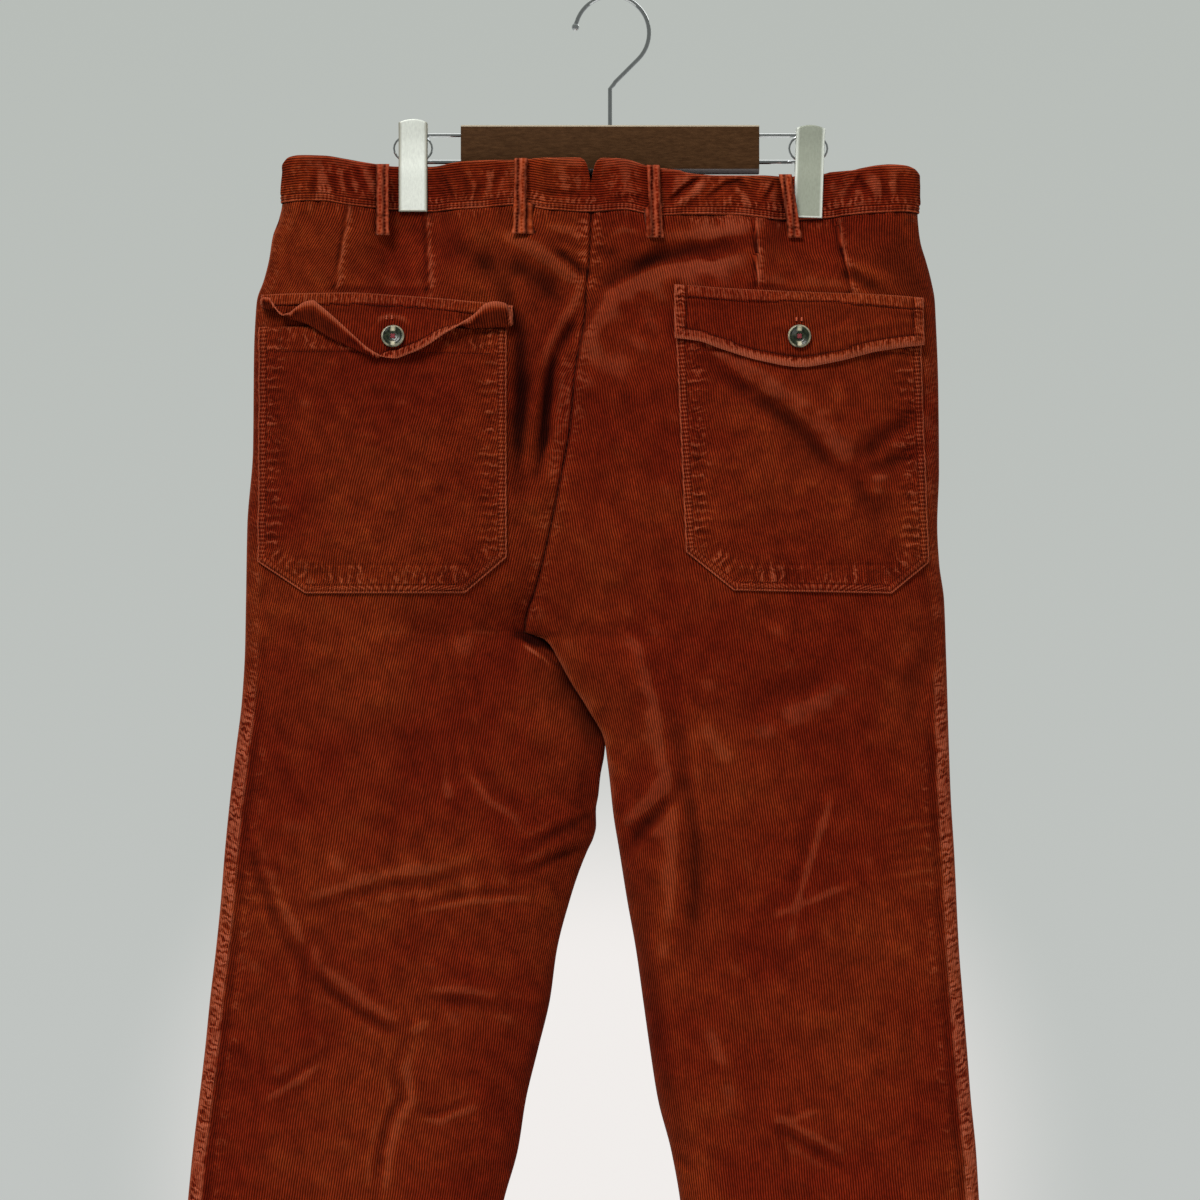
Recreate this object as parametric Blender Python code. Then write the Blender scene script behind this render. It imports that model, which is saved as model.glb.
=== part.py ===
"""Corduroy trousers hung by the waistband from a wooden bar hanger with two metal clips.

The cloth is a set of thin walls worked out from one description of the hanging form: the outline of
each leg, how deep it is at each height, how its sides round off and where its largest folds run.
What lies on a panel (pockets, flaps, belt loops, fly) is made from the panel's own points, moved out.

Frame: metres, +Z up. -Y is the back of the trousers and +X the wearer's right. The origin is the
inside of the top of the hook. All sizes below are in millimetres and become metres in the meshes.
"""

import math
from collections import namedtuple

import bmesh
import bpy
from mathutils import Matrix, Vector

MM = 0.001

# Cloth
CLOTH = 1.6            # thickness of one layer of corduroy
BAND_PROUD = 1.4       # how far the waistband stands out from the panels
HALF_SEAM = 0.15       # half of the gap between two pieces at a seam
LIFT = 0.4             # gap under what lies on a panel
PINCHED = 2.0          # half depth of the waist where a clip grips it
BACK, FRONT = -1, 1    # direction in Y in which each face looks

# Heights
CROTCH_Z = -469.5
HEM_Z = -1205.0
SEAM_X = -14.1             # centre seam at the waist
POCKET_TOP_Z = -236.0
POCKET_CUT_Z = -417.0      # where the cut corners start
POCKET_BOTTOM_Z = -440.5

# Outline of a leg at a height: the side fold, the two edges of the back pocket (carried on down the
# leg as guide lines) and the centre seam, which becomes the inside edge of the leg below the crotch.
Outline = namedtuple("Outline", "z side outer inner edge")
LEFT_OUTLINE = [
    Outline(-115, -241.0, -235.0, -80.0, -14.1),
    Outline(-157, -243.0, -237.0, -79.0, -14.1),
    Outline(-175, -248.5, -241.5, -78.0, -14.6),
    Outline(-195, -252.3, -246.5, -77.5, -15.5),
    Outline(-236, -262.3, -257.7, -75.9, -18.6),
    Outline(-290, -263.8, -258.0, -75.9, -24.5),
    Outline(-350, -264.5, -258.3, -75.9, -37.5),
    Outline(-405, -269.4, -258.5, -75.9, -47.8),
    Outline(-440, -269.4, -258.5, -75.9, -56.0),
    Outline(-456, -269.6, -258.6, -76.2, -61.5),
    Outline(-469.5, -270.0, -258.8, -76.8, -62.9),
    Outline(-476, -270.1, -259.0, -77.0, -49.0),
    Outline(-488, -270.6, -259.2, -77.0, -30.0),
    Outline(-505, -271.6, -260.0, -77.0, -14.0),
    Outline(-525, -272.9, -261.0, -77.5, -8.5),
    Outline(-575, -279.7, -267.5, -79.5, -7.4),
    Outline(-605, -282.4, -270.0, -81.0, -11.5),
    Outline(-680, -289.2, -276.5, -90.0, -33.0),
    Outline(-770, -298.8, -285.5, -101.0, -51.0),
    Outline(-855, -308.9, -295.5, -112.0, -68.8),
    Outline(-889, -312.3, -298.8, -117.0, -77.5),
    Outline(-1000, -321.5, -308.0, -133.0, -97.5),
    Outline(-1100, -329.0, -315.5, -144.0, -110.0),
    Outline(-1205, -336.0, -322.5, -153.0, -121.0),
]
RIGHT_OUTLINE = [
    Outline(-115, 226.6, 220.5, 48.0, -14.1),
    Outline(-157, 227.2, 221.0, 48.0, -14.1),
    Outline(-175, 229.0, 222.5, 48.1, -14.6),
    Outline(-195, 234.0, 225.5, 48.3, -15.5),
    Outline(-236, 240.8, 227.6, 48.7, -18.6),
    Outline(-290, 243.0, 229.1, 50.0, -24.5),
    Outline(-350, 243.6, 231.3, 52.8, -37.5),
    Outline(-405, 242.4, 233.5, 55.2, -47.8),
    Outline(-440, 246.8, 234.0, 56.2, -56.0),
    Outline(-456, 247.8, 235.0, 56.6, -61.5),
    Outline(-469.5, 248.3, 236.0, 57.0, -62.9),
    Outline(-476, 248.5, 236.4, 57.2, -46.6),
    Outline(-488, 248.9, 237.0, 57.4, -39.0),
    Outline(-505, 249.3, 237.4, 57.8, -29.6),
    Outline(-525, 249.5, 237.6, 58.4, -17.0),
    Outline(-550, 250.5, 238.6, 59.2, -4.8),
    Outline(-575, 251.6, 239.6, 60.0, -0.7),
    Outline(-605, 252.8, 240.6, 61.5, 2.6),
    Outline(-680, 257.2, 244.8, 67.0, 14.8),
    Outline(-770, 263.6, 250.8, 75.0, 28.5),
    Outline(-855, 270.9, 257.8, 87.0, 45.9),
    Outline(-889, 273.1, 260.0, 92.0, 51.8),
    Outline(-1000, 280.0, 266.8, 103.0, 62.5),
    Outline(-1100, 285.5, 272.2, 108.5, 69.5),
    Outline(-1205, 291.0, 277.5, 113.5, 76.0),
]

# Depth of the form at a height: the half depth of each leg at its fullest, the half depth left at
# the centre seam, how far in the side and the inside edge round off, how blunt the inside edge is
# (2 is an ellipse, less is sharper) and how far the right leg's inside edge lies behind the left's.
Form = namedtuple("Form", "z depth_left depth_right middle roll tail blunt overlap")
FORMS = [
    Form(-115, 13.2, 13.2, 12.9, 20, 60, 2.0, 0.0),
    Form(-157, 13.8, 13.8, 13.2, 22, 60, 2.0, 0.0),
    Form(-195, 19.0, 19.0, 17.0, 45, 80, 2.0, 0.0),
    Form(-236, 25.0, 25.0, 22.0, 75, 100, 2.0, 0.0),
    Form(-290, 31.0, 31.0, 26.0, 105, 120, 1.9, 0.0),
    Form(-350, 35.0, 35.0, 28.0, 125, 140, 1.7, 0.0),
    Form(-405, 37.0, 37.0, 27.0, 130, 150, 1.6, 0.0),
    Form(-440, 37.0, 37.0, 20.0, 130, 150, 1.5, 0.0),
    Form(-456, 36.5, 37.0, 12.5, 130, 150, 1.5, 0.0),
    Form(-466, 36.0, 36.8, 4.5, 130, 150, 1.5, 0.0),
    Form(-469.5, 36.0, 36.6, 0.0, 130, 150, 1.5, 0.0),
    Form(-476, 35.8, 36.5, 0.0, 130, 150, 1.5, 6.0),
    Form(-488, 35.5, 36.4, 0.0, 128, 150, 1.5, 9.0),
    Form(-505, 35.0, 36.2, 0.0, 126, 148, 1.5, 10.0),
    Form(-525, 34.0, 36.0, 0.0, 124, 140, 1.5, 9.0),
    Form(-550, 33.0, 35.3, 0.0, 120, 125, 1.55, 6.5),
    Form(-575, 32.2, 34.7, 0.0, 116, 110, 1.7, 4.0),
    Form(-640, 30.0, 33.0, 0.0, 106, 90, 2.0, 0.0),
    Form(-740, 27.0, 31.0, 0.0, 92, 78, 2.0, 0.0),
    Form(-889, 23.0, 28.0, 0.0, 74, 66, 2.0, 0.0),
    Form(-1000, 20.0, 24.0, 0.0, 60, 55, 2.0, 0.0),
    Form(-1205, 14.0, 16.0, 0.0, 40, 40, 2.0, 0.0),
]

# Upper edge of the waistband and its seam to the panels, along X
Waistline = namedtuple("Waistline", "x top seam")
WAISTLINE = [
    Waistline(-242.5, -122.5, -152.7),
    Waistline(-236.8, -118.7, -152.3),
    Waistline(-218.0, -117.6, -152.3),
    Waistline(-199.8, -119.0, -153.8),
    Waistline(-171.7, -124.2, -156.8),
    Waistline(-145.8, -125.0, -158.6),
    Waistline(-111.0, -123.1, -157.5),
    Waistline(-70.3, -121.3, -155.3),
    Waistline(-37.0, -119.3, -156.8),
    Waistline(-14.1, -120.0, -159.3),
    Waistline(11.1, -119.8, -159.0),
    Waistline(28.1, -124.6, -160.1),
    Waistline(59.2, -130.9, -161.9),
    Waistline(88.8, -132.2, -162.7),
    Waistline(128.0, -131.8, -164.2),
    Waistline(159.0, -129.6, -164.5),
    Waistline(203.5, -124.4, -160.5),
    Waistline(218.3, -125.3, -160.5),
    Waistline(227.5, -130.5, -162.0),
]
NOTCH_HALF_WIDTH = 5.6     # notch in the waistband at the centre back
NOTCH_BOTTOM_Z = -138.0

# Largest folds: from one end to the other, half width across and height (a trough is negative)
Fold = namedtuple("Fold", "x0 z0 x1 z1 width height")
BACK_FOLDS = [
    Fold(-66, -182, -17, -206, 13, -4.5),
    Fold(-72, -196, -22, -222, 13, 3.0),
    Fold(107, -180, 4, -210, 14, -4.5),
    Fold(64, -196, -12, -246, 14, 4.0),
    Fold(-12, -246, -28, -304, 14, 3.0),
    Fold(-39, -257, -61, -359, 13, 3.5),
    Fold(74, -263, 179, -354, 17, 4.0),
    Fold(178, -350, 222, -306, 15, -3.0),
    Fold(6, -490, 44, -556, 16, 4.0),
    Fold(44, -556, 56, -640, 16, 4.5),
    Fold(48, -584, 16, -630, 14, -3.5),
    Fold(-16, -606, -62, -646, 14, -3.5),
    Fold(-218, -721, -150, -766, 15, -3.0),
    Fold(-123, -752, -160, -792, 14, -3.0),
    Fold(115, -829, 172, -868, 15, -3.0),
    Fold(-290, -960, -180, -1010, 18, -3.0),
    Fold(110, -1000, 220, -1040, 18, -3.0),
]
FRONT_FOLDS = [
    Fold(-200, -250, -110, -330, 18, -3.5),
    Fold(180, -245, 100, -335, 18, -3.5),
    Fold(-60, -400, -150, -450, 18, -4.0),
    Fold(-20, -420, 90, -465, 18, -4.0),
    Fold(-60, -520, -160, -560, 18, 3.5),
    Fold(60, -515, 160, -570, 18, 3.5),
    Fold(-230, -790, -130, -820, 18, -3.5),
    Fold(90, -780, 200, -830, 18, -3.5),
    Fold(-270, -900, -160, -880, 16, -3.0),
    Fold(100, -905, 220, -885, 16, -3.0),
]
FOLD_EDGE = 26.0           # folds die away over this distance from a side fold or an inseam

# Columns of a panel run 0 to 13: side fold, outer edge of the pocket, inner edge, centre seam.
OUTER_COLUMN, INNER_COLUMN, EDGE_COLUMN = 2, 10, 13
SWAP_COLUMN = 6            # where a back panel's cells change from one diagonal to the other
FRONT_SWAP = 5             # the same, counted in a front panel's own columns
POCKET_STATIONS = (0.0, 0.095, 0.19, 0.345, 0.5, 0.655, 0.81, 0.905, 1.0)
BACK_COLUMNS = tuple(range(EDGE_COLUMN + 1))
FRONT_COLUMNS = {
    "left": (0, 1, 2, 4, 6, 7, 8, 10, 11, 12, 13),
    "right": (0, 1, 2, 4, 5, 6, 7, 9, 11, 12, 13),
}                          # two of them keep the cloth flat under the clip
ROWS = (
    None, -175, -193, -211, POCKET_TOP_Z, -262, -290, -320, -350, -380, -402, POCKET_CUT_Z, -428.5,
    POCKET_BOTTOM_Z, -456, -466, CROTCH_Z, -476, -488, -505, -525, -550, -575, -605, -640, -680,
    -725, -770, -815, -855, -895, -950, -1010, -1070, -1140, HEM_Z,
)                          # the first row follows the seam under the waistband

# A flap at a column: its upper (sewn) edge, its lower edge, how far the lower edge lifts off the
# pocket and how far it is turned back up
FlapEdge = namedtuple("FlapEdge", "column top bottom lift turn")
LEFT_FLAP = [
    FlapEdge(2.0, -220.7, -231.0, 4.5, 0.0),
    FlapEdge(2.9, -220.4, -236.8, 4.0, 0.0),
    FlapEdge(3.15, -220.3, -238.2, 3.8, 2.7),
    FlapEdge(3.35, -220.2, -239.6, 3.6, 5.4),
    FlapEdge(3.6, -220.1, -241.5, 3.3, 9.0),
    FlapEdge(4.0, -220.0, -244.7, 3.0, 14.0),
    FlapEdge(4.5, -220.1, -251.0, 2.5, 14.0),
    FlapEdge(5.0, -220.2, -257.0, 2.0, 9.5),
    FlapEdge(5.35, -220.5, -260.5, 1.5, 5.4),
    FlapEdge(5.65, -220.9, -263.5, 1.0, 2.7),
    FlapEdge(6.0, -221.3, -266.0, 0.5, 0.0),
    FlapEdge(6.4, -222.2, -267.0, 0.0, 0.0),
    FlapEdge(7.0, -223.5, -261.7, 0.0, 0.0),
    FlapEdge(7.5, -224.7, -253.0, 1.5, 0.0),
    FlapEdge(8.0, -225.8, -243.0, 3.5, 0.0),
    FlapEdge(9.0, -227.0, -233.5, 6.5, 0.0),
    FlapEdge(9.6, -227.6, -232.6, 6.5, 0.0),
    FlapEdge(10.0, -228.0, -238.0, 3.5, 0.0),
    FlapEdge(10.25, -228.4, -246.0, 1.0, 0.0),
]
RIGHT_FLAP = [
    FlapEdge(1.8, -223.2, -258.2, 0.0, 0.0),
    FlapEdge(2.0, -223.0, -258.6, 0.0, 0.0),
    FlapEdge(3.0, -222.1, -261.0, 0.0, 0.0),
    FlapEdge(4.0, -221.3, -263.8, 0.0, 0.0),
    FlapEdge(4.5, -220.6, -267.8, 0.0, 0.0),
    FlapEdge(5.0, -219.9, -271.3, 0.0, 0.0),
    FlapEdge(5.5, -219.2, -274.0, 0.0, 0.0),
    FlapEdge(6.0, -218.5, -275.3, 0.0, 0.0),
    FlapEdge(6.5, -217.9, -273.4, 0.0, 0.0),
    FlapEdge(7.0, -217.2, -270.8, 0.0, 0.0),
    FlapEdge(7.5, -216.5, -267.0, 0.0, 0.0),
    FlapEdge(8.0, -215.8, -262.2, 0.0, 0.0),
    FlapEdge(9.0, -215.2, -256.6, 0.0, 0.0),
    FlapEdge(10.0, -214.7, -254.1, 0.0, 0.0),
    FlapEdge(10.15, -214.6, -253.9, 0.0, 0.0),
]
FLAP_FOOT, FLAP_SEAT = 0.7, 3.9    # gap under a flap at its sewn edge and over the pocket
FLAP_FOLD = 2.4            # radius at which a flap's edge turns back
FULL_TURN = 8.0            # a part turned back at least this far lies folded flat

# Belt loops: centre line from top to bottom, and how far the middle stands off the waistband
Loop = namedtuple("Loop", "face x_top x_bottom z_top z_bottom stand")
BELT_LOOPS = [
    Loop(BACK, -167.6, -167.6, -124.6, -176.6, 1.4),
    Loop(BACK, -65.6, -66.8, -121.6, -175.8, 1.4),
    Loop(BACK, 32.2, 34.4, -126.4, -178.6, 1.4),
    Loop(BACK, 129.8, 136.6, -132.4, -178.4, 3.0),
    Loop(FRONT, -96.0, -96.0, -123.6, -175.0, 1.4),
    Loop(FRONT, 74.0, 74.0, -132.4, -179.0, 1.4),
]
LOOP_WIDTH, LOOP_THICKNESS = 9.3, 2.0

# Buttons: seen from above, radius and height of the turned profile
BUTTON_PROFILE = [
    (0.0, 0.0), (7.6, 0.0), (8.5, 0.9), (8.5, 1.9), (7.7, 2.8), (6.6, 2.7), (5.2, 1.9), (0.0, 1.8),
]
BUTTON_SEGMENTS = 20
BUTTON_LIFT = 0.7
LEFT_BUTTON = (-161.0, -249.6)
RIGHT_BUTTON = (138.4, -255.2)
WAIST_BUTTON = (-4.0, -140.0)

# Fly lap on the front
FLY_WIDTH, FLY_LAP, FLY_BOTTOM_Z, FLY_LIFT = 38.0, 4.0, -338.0, 1.0
BAND_LAP_OUT, BAND_LAP_IN, LAP_EASE = 30.0, 12.0, 24.0
LAP_DROP = BAND_PROUD + CLOTH + 0.4        # the under end of the waistband lies this much further in

# Hanger
BAR_LENGTH, BAR_DEPTH, BAR_TOP_Z, BAR_BOTTOM_Z = 220.6, 11.0, -94.6, -130.4
BAR_EDGE, BAR_LOWER_EDGE = 1.4, 3.4
SOCKET_DEPTH, SOCKET_GAP = 9.0, 0.3
HOOK_RADIUS, HOOK_WIRE, HOOK_X, HOOK_TIP_RADIUS = 27.4, 1.6, 1.5, 2.9
HOOK_TIP_ANGLE, HOOK_END_ANGLE = 171.0, -45.0
WIRE_RADIUS, WIRE_TOP_Z, WIRE_BOTTOM_Z = 1.5, -101.8, -121.4
CLIP_WIDTH, CLIP_LENGTH, CLIP_SHEET, CLIP_CROWN = 21.2, 68.4, 1.0, 2.6
SPRING_WIRE, SPRING_HALF_WIDTH, SPRING_HALF_HEIGHT, SPRING_STEPS = 0.75, 14.2, 10.6, 24

# Clips: centre of the grip, top and tilt to one side
Clip = namedtuple("Clip", "name x top_z tilt wire_x")
CLIPS = [
    Clip("left", -145.6, -90.2, 0.0, -152.5),
    Clip("right", 146.6, -94.6, 2.0, 153.5),
]
GRIP_HALF_WIDTH, GRIP_EASE = 13.5, 22.0
GRIP_FADE_TOP, GRIP_FADE_BOTTOM = -166.0, -234.0

# Colours, roughness and metallic value of each material
CORD = ((0.125, 0.0137, 0.0045), 0.9, 0.0)
POCKET_CORD = ((0.14, 0.016, 0.0055), 0.9, 0.0)
BAND_CORD = ((0.15, 0.019, 0.0065), 0.9, 0.0)
HORN = ((0.035, 0.033, 0.024), 0.3, 0.0)
WOOD = ((0.07, 0.031, 0.013), 0.5, 0.0)
CHROME = ((0.75, 0.77, 0.76), 0.15, 1.0)
PLATE = ((0.72, 0.74, 0.7), 0.4, 1.0)


class Smooth:
    """A curve through the rows of a table that never overshoots them."""

    def __init__(self, places, values):
        pairs = sorted(zip(places, values))
        self.places = [place for place, _ in pairs]
        self.values = [value for _, value in pairs]
        steps = [b - a for a, b in zip(self.places, self.places[1:])]
        rises = [(b - a) / step for a, b, step in zip(self.values, self.values[1:], steps)]
        self.slopes = [rises[0]]
        for before, after, left, right in zip(rises, rises[1:], steps, steps[1:]):
            if before * after <= 0:
                self.slopes.append(0.0)
                continue
            first, second = 2 * right + left, right + 2 * left
            self.slopes.append((first + second) / (first / before + second / after))
        self.slopes.append(rises[-1])

    def __call__(self, place):
        if place <= self.places[0]:
            return self.values[0]
        if place >= self.places[-1]:
            return self.values[-1]
        index = max(i for i, start in enumerate(self.places) if start <= place)
        step = self.places[index + 1] - self.places[index]
        t = (place - self.places[index]) / step
        start, end = self.values[index], self.values[index + 1]
        rise_in, rise_out = self.slopes[index] * step, self.slopes[index + 1] * step
        return (
            start * (1 + 2 * t) * (1 - t) ** 2 + rise_in * t * (1 - t) ** 2
            + end * t * t * (3 - 2 * t) - rise_out * t * t * (1 - t)
        )


def columns_of(rows, place):
    """One smooth curve for each column of a table, by the column's name."""
    names = [name for name in rows[0]._fields if name != place]
    places = [getattr(row, place) for row in rows]
    return {name: Smooth(places, [getattr(row, name) for row in rows]) for name in names}


FORM = columns_of(FORMS, "z")
WAIST = columns_of(WAISTLINE, "x")


def ease(t):
    """0 below 0, 1 above 1 and smooth between."""
    t = min(max(t, 0.0), 1.0)
    return t * t * (3 - 2 * t)


def round_off(t, blunt):
    """Height of a rounded edge at the share t of its length: 0 at the edge and 1 inside."""
    t = min(max(t, 0.0), 1.0)
    return (1 - (1 - t) ** blunt) ** (1 / blunt)


def grip(x, z):
    """How far a clip presses the waist together at a place, 0 to 1."""
    fade = ease((z - GRIP_FADE_BOTTOM) / (GRIP_FADE_TOP - GRIP_FADE_BOTTOM))
    across = [ease(1 - (abs(x - clip.x) - GRIP_HALF_WIDTH) / GRIP_EASE) for clip in CLIPS]
    return fade * max(across)


def fold_height(folds, x, z):
    """Sum of the folds at a place on a face."""
    total = 0.0
    for fold in folds:
        along = Vector((fold.x1 - fold.x0, fold.z1 - fold.z0))
        offset = Vector((x - fold.x0, z - fold.z0))
        share = offset.dot(along) / along.length_squared
        beyond = max(0.0, -share, share - 1.0) * along.length
        away = math.hypot((offset - along * share).length, beyond)
        total += fold.height * math.exp(-((away / fold.width) ** 2))
    return total


class Leg:
    """One half of the trousers: its face is found at a column and a height."""

    def __init__(self, name, outward, outline):
        self.name = name
        self.outward = outward
        self.line = columns_of(outline, "z")
        self.depth = FORM["depth_" + name]

    def x(self, column, z):
        """Place across the leg: close columns at the side fold and at the inside edge."""
        side, outer = self.line["side"](z), self.line["outer"](z)
        inner, edge = self.line["inner"](z), self.line["edge"](z)
        if column <= OUTER_COLUMN:
            return side + (outer - side) * (column / OUTER_COLUMN) ** 2
        if column <= INNER_COLUMN:
            step = min(int(column - OUTER_COLUMN), len(POCKET_STATIONS) - 2)
            part = column - OUTER_COLUMN - step
            share = POCKET_STATIONS[step] * (1 - part) + POCKET_STATIONS[step + 1] * part
            return outer + (inner - outer) * share
        part = (column - INNER_COLUMN) / (EDGE_COLUMN - INNER_COLUMN)
        return inner + (edge - inner) * (1 - (1 - part) ** 2)

    def column(self, x, z):
        """The column that lies at a place across the leg."""
        low, high = 0.0, float(EDGE_COLUMN)
        for _ in range(40):
            middle = (low + high) / 2
            if (self.x(middle, z) - x) * self.outward > 0:
                low = middle
            else:
                high = middle
        return (low + high) / 2

    def mid_plane(self, x, z):
        """Depth of the sheet between front and back: the legs' inside edges cross each other."""
        side, edge = self.line["side"](z), self.line["edge"](z)
        share = (x - side) / (edge - side)
        return -self.outward * FORM["overlap"](z) * ease((share - 0.45) / 0.5)

    def half(self, x, z):
        """Half depth of the form."""
        from_side = (self.line["side"](z) - x) * self.outward
        from_edge = (x - self.line["edge"](z)) * self.outward
        depth, middle = self.depth(z), FORM["middle"](z)
        left_open = middle / depth
        tail = round_off(from_edge / FORM["tail"](z), FORM["blunt"](z))
        plain = depth * round_off(from_side / FORM["roll"](z), 2.0) * (left_open + (1 - left_open) * tail)
        pinch = grip(x, z)
        return plain * (1 - pinch) + min(plain, PINCHED) * pinch

    def y(self, face, x, z):
        """Depth of the back or front face."""
        from_side = (self.line["side"](z) - x) * self.outward
        from_edge = (x - self.line["edge"](z)) * self.outward
        joined = min(1.0, FORM["middle"](z) / 10.0)
        fade = ease(from_side / FOLD_EDGE) * (joined + (1 - joined) * ease(from_edge / FOLD_EDGE))
        fade *= 1 - grip(x, z)
        folds = fold_height(BACK_FOLDS if face == BACK else FRONT_FOLDS, x, z)
        return self.mid_plane(x, z) + face * (self.half(x, z) + HALF_SEAM + fade * folds)

    def point(self, face, column, z):
        """A point of the outer surface."""
        x = self.x(column, z)
        return Vector((x, self.y(face, x, z), z))

    def normal(self, face, column, z):
        """The direction out of the cloth at a point of the outer surface."""
        step = 0.06
        low, high = max(column - step, 0.0), min(column + step, float(EDGE_COLUMN))
        across = self.point(face, high, z) - self.point(face, low, z)
        along = self.point(face, column, z - 2.0) - self.point(face, column, z + 2.0)
        if column <= 0.0:
            return Vector((self.outward, 0.0, 0.0))
        normal = across.cross(along).normalized()
        return normal if normal.y * face > 0 else -normal

    def seam_inward(self, face, z):
        """The way from the outer to the inner edge of a wall at the centre seam and inseam."""
        open_share = min(1.0, FORM["middle"](z) / 12.0)
        return Vector(((1 - open_share) * self.outward, -face * open_share, 0.0)).normalized()


LEGS = [Leg("left", -1, LEFT_OUTLINE), Leg("right", 1, RIGHT_OUTLINE)]


def make_material(name, finish):
    """A plain material with a colour, a roughness and a metallic value."""
    colour, roughness, metallic = finish
    material = bpy.data.materials.new(name)
    material.use_nodes = True
    shader = material.node_tree.nodes["Principled BSDF"]
    shader.inputs["Base Color"].default_value = (*colour, 1.0)
    shader.inputs["Roughness"].default_value = roughness
    shader.inputs["Metallic"].default_value = metallic
    material.diffuse_color = (*colour, 1.0)
    return material


def make_object(name, shape, finish):
    """Turn a bmesh in millimetres into a named object in metres."""
    bmesh.ops.recalc_face_normals(shape, faces=shape.faces)
    bmesh.ops.scale(shape, vec=(MM, MM, MM), verts=shape.verts)
    mesh = bpy.data.meshes.new(name)
    shape.to_mesh(mesh)
    shape.free()
    mesh.materials.append(make_material(name, finish))
    mesh.shade_smooth()
    mesh.set_sharp_from_angle(angle=math.radians(40))
    made = bpy.data.objects.new(name, mesh)
    bpy.context.scene.collection.objects.link(made)
    return made


def make_wall(name, outer, inner, triangles, finish):
    """A closed wall between two layers that share their triangles."""
    shape = bmesh.new()
    used = sorted({key for triangle in triangles for key in triangle})
    near = {key: shape.verts.new(outer[key]) for key in used}
    far = {key: shape.verts.new(inner[key]) for key in used}
    sides = {}
    for triangle in triangles:
        shape.faces.new([near[key] for key in triangle])
        shape.faces.new([far[key] for key in reversed(triangle)])
        for start, end in zip(triangle, triangle[1:] + triangle[:1]):
            sides[(start, end)] = True
    for start, end in sides:
        if (end, start) not in sides:
            shape.faces.new([near[end], near[start], far[start]])
            shape.faces.new([near[end], far[start], far[end]])
    return make_object(name, shape, finish)


def grid_triangles(row_count, column_count, leaning=lambda column: True):
    """Two triangles for each cell of a grid, cut along the diagonal that the column asks for."""
    triangles = []
    for row in range(row_count - 1):
        for column in range(column_count - 1):
            a, b = (row, column), (row, column + 1)
            c, d = (row + 1, column), (row + 1, column + 1)
            if leaning(column):
                triangles += [(a, b, d), (a, d, c)]
            else:
                triangles += [(a, b, c), (b, d, c)]
    return triangles


def row_height(leg, row, column):
    """Height of a panel's grid point."""
    if ROWS[row] is not None:
        return ROWS[row]
    return WAIST["seam"](leg.x(column, -157.0))


def panel_layers(leg, face, columns):
    """Outer points, inner points and normals of a panel's grid."""
    outer, inner, normals = {}, {}, {}
    for row in range(len(ROWS)):
        for index, column in enumerate(columns):
            z = row_height(leg, row, column)
            point = leg.point(face, column, z)
            normal = leg.normal(face, column, z)
            if column == EDGE_COLUMN:
                inward = leg.seam_inward(face, z)
                if z >= CROTCH_Z:
                    point.x += leg.outward * HALF_SEAM
            else:
                inward = -normal
            if row in (0, len(ROWS) - 1):
                inward = Vector((inward.x, inward.y, 0.0)).normalized()
            deep = point + inward * CLOTH
            limit = leg.mid_plane(point.x, z) + face * HALF_SEAM
            deep.y = min(deep.y, limit) if face == BACK else max(deep.y, limit)
            outer[(row, index)], inner[(row, index)], normals[(row, index)] = point, deep, normal
    return outer, inner, normals


def build_panel(leg, face, columns, name):
    """One back or front, from the waist seam to the hem."""
    outer, inner, normals = panel_layers(leg, face, columns)
    swap = SWAP_COLUMN if face == BACK else FRONT_SWAP
    triangles = grid_triangles(len(ROWS), len(columns), lambda column: column < swap)
    make_wall(name, outer, inner, triangles, CORD)
    return outer, normals


def on_grid(outer, normals, column, z):
    """Point and normal on the facets of a back panel at a column and a height."""
    row = max(r for r in range(1, len(ROWS) - 1) if ROWS[r] >= z or r == 1)
    down = (ROWS[row] - z) / (ROWS[row] - ROWS[row + 1])
    left = min(int(column), EDGE_COLUMN - 1)
    across = column - left
    a, b, c, d = (row, left), (row, left + 1), (row + 1, left), (row + 1, left + 1)
    if left < SWAP_COLUMN:
        shares = {
            a: 1 - max(across, down), d: min(across, down),
            b: max(across - down, 0.0), c: max(down - across, 0.0),
        }
    else:
        short = across + down <= 1
        shares = {
            a: 1 - across - down if short else 0.0, d: 0.0 if short else across + down - 1,
            b: across if short else 1 - down, c: down if short else 1 - across,
        }

    def blend(layer):
        return sum((layer[key] * share for key, share in shares.items()), Vector((0.0, 0.0, 0.0)))

    return blend(outer), blend(normals).normalized()


def build_pocket(leg, panel, normals, name):
    """A patch pocket with cut corners, on the panel's own points moved out."""
    first, last = ROWS.index(POCKET_TOP_Z), ROWS.index(POCKET_BOTTOM_Z)
    cut = ROWS.index(POCKET_CUT_Z)
    triangles = []
    for a, b, c in grid_triangles(len(ROWS), EDGE_COLUMN + 1, lambda column: column < SWAP_COLUMN):
        cells = (a, b, c)
        if any(not first <= row <= last for row, _ in cells):
            continue
        if any(not OUTER_COLUMN <= column <= INNER_COLUMN for _, column in cells):
            continue
        down = [max(0, row - cut) for row, _ in cells]
        in_from_side = [min(column - OUTER_COLUMN, INNER_COLUMN - column) for _, column in cells]
        if all(inward >= depth for inward, depth in zip(in_from_side, down)):
            triangles.append(cells)
    near = {key: panel[key] + normals[key] * LIFT for key in panel}
    far = {key: panel[key] + normals[key] * (LIFT + CLOTH) for key in panel}
    make_wall(name, far, near, triangles, POCKET_CORD)


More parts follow.
